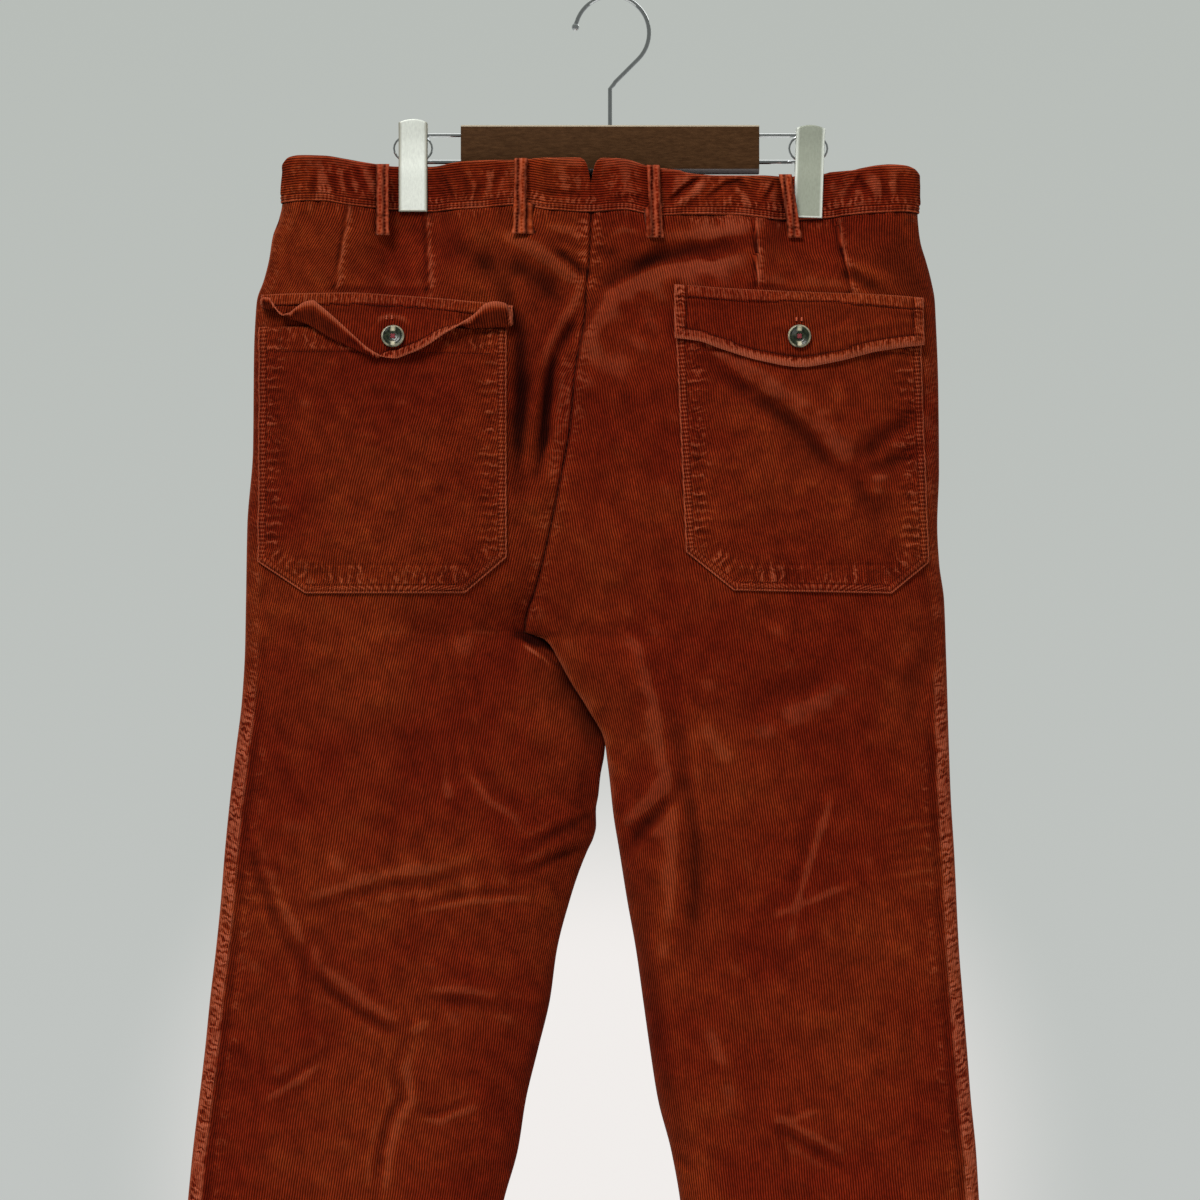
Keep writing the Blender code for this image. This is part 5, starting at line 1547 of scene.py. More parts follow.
@dataclass
class Flap:
    """A pointed pocket flap from its sections, with stitched, puckered margins."""

    leg: LegForm
    lines: tuple[FlapLine, ...]
    creases: tuple[Crease, ...]
    seed: int
    cut: Cut = Cut(0.19, 0.062, 0.009)
    step: float = 0.95
    foot: float = 1.5
    hole: tuple[float, float] = (138.2, -241.4)
    hems: Path = ((-1000.0, 8.6), (1000.0, 8.6))
    turned_shade: float = -0.42
    band: float = 9.8
    smoothing: int = 3

    def sections(self, x: Array) -> Pair:
        """Distance off the panel and height of the section's points at each place across.

        Args:
            x: Places across.

        Returns:
            Distance off the panel and height, rows by columns.
        """
        rows = self.lines
        places = [row.x for row in rows]

        def along(values: list[float]) -> Array:
            """One control point's value at each place."""
            return Smooth(places, values)(x)

        top = along([row.top for row in rows])
        first, second = np.full_like(x, self.foot), np.full_like(x, 2.6)
        off = [first, second, 0.45 * second + 0.55 * along([row.crease_off for row in rows])]
        height = [top, top - 2.5, top - 2.5 + 0.45 * (along([row.crease for row in rows]) - top + 2.5)]
        for name in ("crease", "low", "edge"):
            off.append(along([getattr(row, name + "_off") for row in rows]))
            height.append(along([getattr(row, name) for row in rows]))
            if name == "low":
                turned = along([row.edge - row.low for row in rows]) > 2.0
                off.insert(-1, np.where(turned, off[-2] - 0.2, (off[-1] + off[-2]) / 2))
                height.insert(-1, np.where(turned, height[-1], (height[-1] + height[-2]) / 2))
        line = np.stack([np.stack(off), np.stack(height)], axis=-1)
        for _ in range(self.smoothing):
            near, far = 0.75 * line[:-1] + 0.25 * line[1:], 0.25 * line[:-1] + 0.75 * line[1:]
            cut = np.stack([near, far], axis=1).reshape(-1, *line.shape[1:])
            line = np.concatenate([line[:1], cut[1:-1], line[-1:]])
        return line[..., 0], line[..., 1]

    def grid(self) -> Pair:
        """The middle of the cloth: points and normals, rows from the sewn top to the free edge.

        Returns:
            Points and normals.
        """
        ends = [row.x for row in self.lines]
        x = spaced(min(ends), max(ends), self.step)
        off, z = self.sections(x)
        points, _ = self.leg.seat(Face.BACK, np.broadcast_to(x, z.shape), z)
        points[..., 1] -= off
        return points, grid_normals(points, Face.BACK.way)

    def hem(self, points: Array) -> Array:
        """Width of the stitched margin, narrower where the flap is turned back up."""
        return curve(dict(self.hems))(points[..., 0])

    def turned(self, points: Array) -> Array:
        """1 on the part that is turned back up, above the flap's lowest line.

        Args:
            points: The cloth's points.

        Returns:
            0 or 1, with a short rise between.
        """
        z = points[..., 2]
        beyond = np.arange(len(z))[:, None] > z.argmin(axis=0)
        return beyond * ease((z - z.min(axis=0) - 1.0) / 3.0)

    def places(self, points: Array) -> tuple[Array, Array, Array, Array]:
        """Distances on the cloth: from the top, from the free edge, from the nearer end and across.

        Args:
            points: The cloth's points.

        Returns:
            The four distances.
        """
        down = travel(points)
        across = np.broadcast_to(travel(points[0]), down.shape)
        return down, down[-1] - down, np.minimum(across, across[:, -1:] - across), across

    def margins(self, points: Array) -> tuple[Array, Array, Array, Array, Array]:
        """Distances from the top, from the nearest free edge, along it and across, and the hem's width."""
        down, up, end, across = self.places(points)
        return down, np.minimum(up, end), np.where(up < end, across, down), across, self.hem(points)

    def outer(self) -> Pair:
        """Points and normals of the cloth's outer face."""
        points, normals = self.grid()
        return points + normals * (self.relief(points) + CLOTH / 2)[..., None], normals

    def relief(self, points: Array) -> Array:
        """Doubled margins, stitched furrows, puckers and creases.

        Args:
            points: The cloth's points.

        Returns:
            Height above the middle of the cloth.
        """
        down, edge, along, across, hem = self.margins(points)
        total = 0.45 * ease((hem - edge) / 1.5) + 0.4 * ease((self.band - down) / 1.5)
        total = total - 0.8 * bell(edge - hem, 0.9) - 0.7 * bell(down - self.band, 0.9)
        total += 0.35 * ripple(along, 2.1, self.seed) * window(edge, 0.0, 1.2, hem - 1.4, hem + 2.0)
        total += 0.15 * ripple(across, 1.9, self.seed + 1) * window(down, 0.0, 1.5, 7.5, 11.0)
        wide = ripple(along, 4.2, self.seed + 2) * window(edge, 7.0, 11.0, 13.0, 24.0)
        total = total + 0.4 * wide + 0.5 * rumple(points[..., 0], points[..., 2], 12.0, self.seed + 3)
        return total * ease(down / 2.0) + creased(self.creases, points[..., 0], points[..., 2])

    def nap(self, points: Array) -> Nap:
        """Level wales, scuffed edges, painted highlights on the crests and margins, painted shade on the
        turned-up face and in the stitched furrows, and the cross ridges of the margins.

        Args:
            points: The cloth's points.

        Returns:
            How the pile lies.
        """
        down, edge, along, across, hem = self.margins(points)
        wear = 0.75 * bell(edge, 1.0) + 0.5 * bell(down, 0.9) + 0.2 * ease((hem - edge) / 2.0)
        # The top band a little paler, and painted shade in the stitched furrows beside the margins and below
        # the band.
        wear = wear + 0.12 * ease((self.band - down) / 2.0) - 0.4 * bell(edge - hem, 0.8)
        wear = wear - 0.35 * bell(down - self.band, 0.8) - 0.25 * window(down, 11.0, 13.0, 13.5, 19.0)
        # Painted shade on the face that is turned back up, and painted highlights on its margins.
        shade = self.turned_shade * ease((edge - hem) / 1.0) + 0.3 * ease((hem - edge) / 1.0)
        wear += self.turned(points) * shade
        # Painted light on the crests and painted shade in the hollows of the relief.
        wear += np.clip(0.3 * proud_of(self.relief(points), 4, 5), -0.4, 0.4)
        pucker, phase = strongest(
            (0.6 * window(edge, 0.5, 2.0, hem - 1.4, hem + 2.0), along / 5.0),
            (0.25 * window(down, 0.5, 2.0, 7.5, 10.5), across / 4.4),
        )
        return Nap(across - self.leg.outward * 0.12 * down, down, wear, pucker, phase)

    def runs(self) -> Runs:
        """Stitches along the margins, on the cloth's outer face.

        Returns:
            Runs of points and normals.
        """
        points, normals = self.outer()
        down, up, end, _ = self.places(points)
        runs, hem, columns = [], self.hem(points), np.arange(points.shape[1])
        for distance, measure in ((hem, up), (self.band, down)):
            picked = np.abs(measure - distance).argmin(axis=0)
            inside = end[picked, columns] > 2.5
            runs.append((points[picked, columns][inside], normals[picked, columns][inside]))
        for half in np.array_split(columns, [len(columns) // 2]):
            index = half[np.abs(end[0] - hem[0])[half].argmin()]
            inside = (up[:, index] > hem[:, index]) & (down[:, index] > self.band)
            runs.append((points[inside, index], normals[inside, index]))
        return [run for run in runs if len(run[0]) > 2]

    def buttonhole(self) -> tuple[Runs, Runs]:
        """The slit's dark line and the two pale bars that end it.

        Returns:
            Runs of the slit and runs of the bars.
        """
        x, z = self.hole
        slit = [self.carry(x + step, z, 0.1) for step in (-4.0, -1.4, 1.4, 4.0)]
        bars = [[self.carry(x + step, z + rise, 0.3) for rise in (-0.6, 2.6)] for step in (-1.9, 1.9)]
        joined = [tuple(np.stack(part) for part in zip(*run)) for run in (slit, *bars)]
        return joined[:1], joined[1:]

    def build(self, finish: Corduroy) -> None:
        """Makes the flap, whose shell grows both ways from its middle.

        Args:
            finish: The cloth's finish.
        """
        points, normals = self.grid()
        points = points + normals * self.relief(points)[..., None]
        name = self.leg.name
        nap = self.nap(points)
        made = self.cut.hang(f"flap_{name}", points, nap, finish, Face.BACK.way, f"back_{name}_cloth")
        made.modifiers["thickness"].offset = 0.0
        made.modifiers["thickness"].use_even_offset = False

    def carry(self, x: float, z: float, proud: float) -> Pair:
        """A place on the flap's outer face near a point, and the direction out of it.

        Args:
            x: Place across.
            z: Height.
            proud: How far out of the cloth.

        Returns:
            The place and the direction.
        """
        points, normals = self.outer()
        inside = points.shape[0] * 2 // 3
        away = np.hypot(points[:inside, :, 0] - x, points[:inside, :, 2] - z)
        spot = np.unravel_index(away.argmin(), away.shape)
        return points[spot] + normals[spot] * proud, normals[spot]


POCKETS = (
    Pocket(
        LEFT, ((-257.7, -244.3), (-258.5, -417.0), (-222.8, -440.6)),
        ((-75.9, -246.8), (-75.9, -413.6), (-106.5, -440.0)), 51,
    ),
    Pocket(
        RIGHT, ((227.6, -246.0), (233.8, -417.8), (205.8, -440.7)),
        ((48.0, -244.0), (55.5, -410.1), (90.3, -438.4)), 57,
    ),
)
BAND_CREASES = laid(
    (2.2, -1.3, 0.6, -217, -131, -218, -144, -219, -150),
    (2.2, -1.3, 1.6, -206, -130, -203, -142, -200, -148),
    (2.4, -1.6, 0.6, -195, -128, -192, -141, -188, -148),
    (2.2, -1.3, 1.5, -188, -128, -182, -140, -179, -147),
    (2.4, -1.4, 0.6, -122, -134, -118, -144, -114, -151),
    (2, -1.2, 1, -107, -132, -104, -143, -103, -150),
    (2.2, -1.4, 1.6, -95, -138, -98, -147, -99, -152),
    (2.2, -1, 1, -80, -128, -84, -138, -86, -149),
    (2.2, -1.1, 1.6, -50, -146, -30, -147, -18, -147),
    (2.4, -0.9, 1, 2, -150, 14, -148, 26, -150),
    (2.6, -2.2, 0.5, 43, -152, 55, -141, 64, -135, 66, -131),
    (3, 1.4, 1, 47, -156, 60, -148, 70, -136),
    (2.6, -1.6, 0.6, 71, -150, 85, -139, 95, -136, 106, -149),
    (3.2, 1.2, 1, 84, -155, 94, -144, 103, -155),
    (2.4, -1.6, 0.6, 112, -153, 118, -143, 122, -135),
    (2.4, -1.4, 0.6, 160, -151, 166, -140, 169, -133),
    (2.6, -1.5, 0.6, 174, -150, 183, -134, 193, -148),
    (2.2, -1.3, 1, 200, -132, 203, -145, 203, -150),
    (2, -1, 1, 212, -134, 214, -150),
)
NOTCH = {0.0: -137.2, 0.7: -134.0, 1.3: -130.5, 2.4: -125.6, 3.6: -122.8, 5.0: -120.9, 6.8: -120.0}
NOTCH_WIDTH = max(NOTCH)


@dataclass
class Waistband:
    """Half of the waistband, from the notch at the centre back round to the front lap."""

    leg: LegForm
    cut: Cut = Cut(0.51, 0.038, 0.0187)
    proud: float = 1.4
    thickness: float = 3.0
    rows: tuple[float, float] = (2.4, 5.6)
    stitch: float = 3.0
    step: float = 1.3
    lap_over: float = 30.0
    lap_under: float = -12.0
    lap_depth: float = 3.4
    front_shift: float = 500.0
    near_side: tuple[float, ...] = (0.0, 0.25, 0.9, 1.9, 3.2, 4.8, 6.8, 9.2)
    near_notch: tuple[float, ...] = (0.0, 0.35, 0.7, 1.2, 1.8, 2.5, 3.3, 4.3, 5.6, 7.2)
    seed: int = 71

    def stations(self) -> Pair:
        """Places round the band: distance from the side fold, and the face (-1 back, 1 front).

        Returns:
            Distances and faces.
        """
        width = abs(SEAM_X - self.leg.side(BAND_Z)) - HALF_SEAM
        side, notch = np.array(self.near_side), np.array(self.near_notch)
        inner = spaced(side[-1], width - notch[-1], self.step)[1:-1]
        back = np.concatenate([side, inner, width - notch[::-1]])
        lap = self.lap_over if self.leg.outward < 0 else self.lap_under
        reach = width + HALF_SEAM + abs(lap)
        front = np.concatenate([side[1:], spaced(side[-1], reach, self.step)[1:]])
        return np.concatenate([back[::-1], front]), np.concatenate([-np.ones(len(back)), np.ones(len(front))])

    def levels(self, x: Array, face: Array) -> Pair:
        """Heights of the band's lower and upper edges.

        Args:
            x: Places across.
            face: -1 at the back and 1 at the front.

        Returns:
            The two heights.
        """
        away = np.abs(x - SEAM_X) - HALF_SEAM
        notch = curve(NOTCH)(away)
        top = band_top_line(x)
        lowered = np.minimum(top, notch + 0.2 * (top - NOTCH[NOTCH_WIDTH]))
        top = np.where((face < 0) & (away < NOTCH_WIDTH), lowered, top)
        return band_seam_line(x) + 0.4, top

    def grid(self) -> tuple[Array, Array, Array, Array]:
        """Form points, level normals, distance above the seam and distance below the top.

        Returns:
            The four grids.
        """
        away, face = self.stations()
        x = self.leg.side(BAND_Z) - self.leg.outward * away
        low, high = self.levels(x, face)
        share = np.append(spaced(0.0, 0.94, 0.024), (0.955, 0.968, 0.979, 0.988, 0.995, 1.0))[:, None]
        z = low + (high - low) * share
        spread = self.leg.side(z) - self.leg.side(BAND_Z)
        x = x + spread * ease(1 - away / 120.0)
        back, front = (self.leg.height(side, x, z, False) for side in Face)
        y = np.where(face < 0, back, front)
        if self.leg.outward > 0:
            y = y - np.where(face > 0, self.lap_depth * ease(1 - (x - SEAM_X - 38.0) / 24.0), 0.0)
        points = np.stack([x, y, z], axis=-1)
        right = np.gradient(points, axis=1)
        normal = np.stack([right[..., 1], -right[..., 0], np.zeros_like(z)], axis=-1)
        normal /= np.linalg.norm(normal, axis=-1, keepdims=True)
        normal *= np.sign(normal[:1, :1, 1] * -1)
        return points, normal, z - low, high - z

    def around(self, points: Array) -> Array:
        """Places round the band, the front's set apart from the back's."""
        return points[..., 0] + np.where(points[..., 1] > 0, self.front_shift, 0.0)

    def relief(self, points: Array, up: Array, down: Array) -> Array:
        """Rounded top, stitched furrows and puckers.

        Args:
            points: The form's points.
            up: Above the seam.
            down: Below the top.

        Returns:
            Height above the form.
        """
        x, z, front = points[..., 0], points[..., 2], points[..., 1] > 0
        arc = self.around(points)
        total = -1.1 * (1 - round_off(down / 2.2, 2.0)) - 0.6 * (1 - ease(up / 1.2))
        for row in self.rows:
            total -= 0.65 * bell(up - row, 0.75)
        total += 0.3 * np.cos(math.tau * arc / self.stitch) * window(up, 0.3, 1.5, 5.0, 8.0)
        loose = ease((up - 4.5) / 3.0) * ease((down - 1.0) / 8.0)
        fade = np.exp(-np.maximum(up - 8, 0) / 5.0)
        total += loose * 0.5 * ripple(arc + 0.15 * z, 2.3, self.seed + 1) * fade
        total += loose * 0.5 * ripple(arc + 0.2 * z, 8.0, self.seed + 3)
        total += 0.4 * rumple(arc, 1.6 * z, 9.0, self.seed + 2) * ease(down / 4.0)
        creases = 1.4 * creased(BAND_CREASES, x, z)
        return total + np.where(front, 0.0, 1.0 - GRIP.at(x, z)) * creases * ease(down / 5.0)

    def surface(self) -> tuple[Array, Array, Array, Array]:
        """Outer points, normals, distance above the seam and distance below the top.

        Returns:
            The four grids.
        """
        points, normal, up, down = self.grid()
        outer = points + normal * (self.proud + self.relief(points, up, down))[..., None]
        return outer, normal, up, down

    def runs(self) -> Runs:
        """The two rows of stitches above the seam.

        Returns:
            Runs of points and normals.
        """
        points, normals, up, _ = self.surface()
        columns = np.arange(points.shape[1])
        picks = [np.abs(up - row).argmin(axis=0) for row in self.rows]
        return [(points[picked, columns], normals[picked, columns]) for picked in picks]

    def build(self, finish: Corduroy) -> None:
        """Makes the half band.

        Args:
            finish: The cloth's finish.
        """
        points, normal, up, down = self.surface()
        along, arc = np.broadcast_to(travel(points[5]), up.shape), self.around(points)
        wear = 0.45 * bell(down, 1.1) + 0.35 * bell(up, 0.9) + 0.08 * ease((8.0 - up) / 2.0)
        wear += 0.2 * np.cos(math.tau * arc / self.stitch) * window(up, 0.3, 1.5, 4.5, 6.0)
        wear += 0.16 * rumple(arc, points[..., 2], 14.0, self.seed + 4)
        # Painted light on the crests and painted shade in the creases and furrows of the relief.
        wear = wear + np.clip(0.3 * proud_of(self.relief(points, up, down), 7, 5), -0.6, 0.4) + 0.06
        pucker = strongest(
            (0.5 * window(up, 5.5, 7.0, 9.0, 16.0), arc / 4.6),
            (0.25 * window(up, 12.0, 18.0, 24.0, 34.0), arc / 9.0),
        )
        name = self.leg.name
        outward = normal[points.shape[0] // 2, points.shape[1] // 2]
        nap = Nap(up, along, wear, *pucker)
        node, held_by = f"waistband_{name}", f"clip_{name}_back"
        self.cut.hang(node, points, nap, finish, outward, held_by, self.thickness)


@dataclass
class BeltLoop:
    """A narrow double strip over the waistband, seated at both ends."""

    number: int
    face: Face
    x_top: float
    x_bottom: float
    z_top: float
    z_bottom: float
    stand: float
    cut: Cut = Cut(0.01, 0.058, 0.00056)
    width: float = 9.4
    thickness: float = 2.0
    clearance: float = 0.9
    row: float = 0.37
    stitch: float = 2.6
    tuck: float = 0.0
    tuck_from: float = 0.55

    @property
    def leg(self) -> LegForm:
        """The half of the trousers under the loop."""
        return LEFT if self.x_top < SEAM_X else RIGHT

    def level(self, x: Array, z: Array) -> Array:
        """How far out the band or panel under the loop reaches."""
        plain, folded = (self.face.value * self.leg.height(self.face, x, z, folds) for folds in (False, True))
        return np.where(z > band_seam_line(x), plain + Waistband.proud + 0.6, np.maximum(plain, folded))

    def grid(self) -> tuple[Array, Array, Array]:
        """Outer points, place across from -1 to 1 and distance from the nearer end.

        Returns:
            The three grids.
        """
        share = spaced(0.0, 1.0, 0.0125)[:, None]
        across = spaced(-1.0, 1.0, 0.1)[None, :]
        z = self.z_top + (self.z_bottom - self.z_top) * share
        middle = self.x_top + (self.x_bottom - self.x_top) * share
        around = [(dx, dz) for dx in (-5.5, 0.0, 5.5) for dz in (-5.0, 0.0, 5.0)]
        seat = np.max([self.level(middle + dx, z + dz) for dx, dz in around], axis=0)
        ends = np.minimum(share, 1 - share) * abs(self.z_top - self.z_bottom)
        seat = seat + self.clearance + self.stand * np.sin(np.pi * share) ** 0.7
        flare = 1.0 + 0.07 * bell(ends - 2.0, 3.0)
        flare = flare + 0.1 * bell((z - self.z_bottom) / 4.0, 1.0) + 0.035 * ripple(z, 3.1, 84 + self.number)
        x = middle + across * self.width / 2 * flare
        spot = np.broadcast_to(z, x.shape)
        proud = self.thickness - 0.9 * np.abs(across) ** 6 - 0.9 * (1 - ease(ends / 1.6))
        proud = proud - 0.2 * bell(np.abs(across) - self.row, 0.12) * ease(ends / 3.0)
        rim = bell(np.abs(across) - 0.8, 0.3)
        proud = proud + 0.3 * ripple(spot + 3 * np.sign(across), 1.9, 80 + self.number) * rim
        points = np.stack([x, self.face.value * (seat + proud), spot], axis=-1)
        across, ends = across + 0 * spot, ends + 0 * spot
        if self.tuck:
            side = -1 if self.tuck > 0 else 0
            open_share = ease((share[:, 0] - self.tuck_from) / 0.06) * abs(self.tuck)
            for reach, drop in ((0.05, 1.2), (0.9, 1.3), (1.0, 2.2)):
                extra = points[:, side].copy()
                extra[:, 0] += math.copysign(1.0, self.tuck) * open_share * reach
                extra[:, 1] -= self.face.value * drop * np.clip(open_share, 0, 1)
                column = points.shape[1] if self.tuck > 0 else 0
                points = np.insert(points, column, extra, axis=1)
                across, ends = (np.insert(part, column, part[:, side], axis=1) for part in (across, ends))
        return points, across, ends

    def build(self, finish: Corduroy) -> None:
        """Makes the loop.

        Args:
            finish: The cloth's finish.
        """
        points, across, ends = self.grid()
        holes = (0.5 + 0.5 * np.cos(math.tau * (points[..., 2] / self.stitch + 0.5 * (across > 0)))) ** 1.5
        wear = 0.46 + 0.25 * rumple(3 * points[..., 0], points[..., 2], 2.6, 88) + 0.25 * bell(ends, 1.6)
        wear -= 0.3 * bell(np.abs(across) - 0.98, 0.08)
        wear -= bell(np.abs(across) - self.row, 0.17) * (0.1 + 0.6 * holes)
        nap = Nap(0.3 * points[..., 0], points[..., 2], wear, np.zeros_like(wear), points[..., 2] / 3.0)
        node, held_by = f"belt_loop_{self.number}", f"waistband_{self.leg.name}_cloth"
        self.cut.hang(node, points, nap, finish, self.face.way, held_by, self.thickness)


LOOPS = (
    BeltLoop(1, Face.BACK, -167.6, -167.6, -124.2, -176.8, 1.4),
    BeltLoop(2, Face.BACK, -65.4, -66.9, -120.2, -176.2, 1.6, tuck=3.4),
    BeltLoop(3, Face.BACK, 31.9, 34.4, -125.2, -179.0, 1.6, tuck=-1.8),
    BeltLoop(4, Face.BACK, 129.2, 136.8, -131.4, -178.0, 3.0),
    BeltLoop(5, Face.FRONT, -96.0, -96.0, -123.6, -175.0, 1.4),
    BeltLoop(6, Face.FRONT, 74.0, 74.0, -132.4, -179.0, 1.4),
)


@dataclass
class Fly:
    """The lap over the front opening, with its curved row of stitches."""

    width: float = 38.0
    lap: float = 4.0
    bottom: float = -338.0
    lift: float = 1.2
    rows: tuple[float, float] = (0.86, 0.74)
    cut: Cut = Cut(0.042, 0.178, 0.0071)

    def width_at(self, share: Array) -> Array:
        """Width of the lap at a share of its drop, rounded in at the foot."""
        return self.width * np.sqrt(np.maximum(0.02, 1 - np.maximum(0.0, (share - 0.7) / 0.3) ** 2))

    def surface(self, share: Array, across: Array) -> Pair:
        """Points and normals at shares of the drop and of the width.

        Args:
            share: Shares of the drop.
            across: Shares of the width.

        Returns:
            Points and normals.
        """
        top = band_seam_line(-30.0) - 1.6
        z = top + (self.bottom - top) * share
        centre = LEFT.edge(z)
        x = centre + self.lap - (self.width_at(share) + self.lap) * across
        left = LEFT.height(Face.FRONT, np.minimum(x, centre), z)
        right = RIGHT.height(Face.FRONT, np.maximum(x, centre), z)
        y = np.where(x < centre, left, right) + self.lift + CLOTH
        y = y + 0.35 * ripple(z, 4.0, 91) * bell(across - 0.95, 0.1) - 0.4 * bell(across - self.rows[0], 0.03)
        return np.stack([x, y, z + 0 * x], axis=-1), np.broadcast_to(Face.FRONT.way, (*x.shape, 3))

    def runs(self) -> Runs:
        """The curved row of stitches."""
        share = spaced(0.01, 0.97, 0.01)
        return [self.surface(share, np.full_like(share, row)) for row in self.rows]

    def build(self, finish: Corduroy) -> None:
        """Makes the lap.

        Args:
            finish: The cloth's finish.
        """
        share, across = np.meshgrid(spaced(0.0, 1.0, 0.013), spaced(0.0, 1.0, 0.05), indexing="ij")
        points, _ = self.surface(share, across)
        wear = 0.5 * bell(across - 1.0, 0.03) + 0.5 * bell(across, 0.03)
        nap = Nap(points[..., 0], points[..., 2], wear, 0.6 * bell(across - 0.92, 0.08), points[..., 2] / 4.0)
        self.cut.hang("fly", points, nap, finish, Face.FRONT.way, "front_left_cloth")


@dataclass(frozen=True)
class Horn:
    """Dark olive horn with a pale rim and cream patches, from a button's own disc map."""

    dark: Triple = (0.006, 0.009, 0.005)
    olive: Triple = (0.030, 0.038, 0.020)
    cream: Triple = (0.50, 0.46, 0.32)

    @cached_property
    def material(self) -> Material:
        """The finish as a material.

        Returns:
            The material, made at its first use.
        """
        dye = Dye("horn", Roughness=0.3, Specular_IOR_Level=0.25, Coat_Weight=0.08)
        disc = dye.node("UVMap", uv_map="disc").outputs[0]
        parts = dye.node("SeparateXYZ", {0: disc}).outputs
        radius = dye.node("VectorMath", {0: disc}, operation="LENGTH").outputs["Value"]
        waver = dye.remap(dye.noise(disc, 260.0), 0, 1, -0.0012, 0.0012)
        side = dye.sum("ABSOLUTE", dye.sum("ADD", parts[0], waver))
        patch = dye.times(dye.remap(side, 0.0008, 0.0022, 1.0, 0.0), dye.remap(radius, 0.0036, 0.0044, 0, 1))
        patch = dye.times(patch, dye.remap(radius, 0.0068, 0.0076, 1, 0))
        streak = dye.remap(dye.noise(disc, 420.0, 4.0, 0.6), 0.42, 0.62, 0.0, 1.0)
        body = dye.mix(streak, self.dark, self.olive)
        rim = dye.times(dye.remap(radius, 0.0070, 0.0077, 0, 1), dye.remap(radius, 0.0083, 0.0086, 1, 0))
        broken = dye.remap(dye.noise(disc, 150.0), 0.35, 0.6, 0.1, 0.75)
        body = dye.mix(dye.times(rim, broken), body, self.cream)
        dye.colour(dye.mix(patch, body, self.cream))
        dye.bump(dye.noise(disc, 500.0), 0.0001, 0.4)
        return dye.material


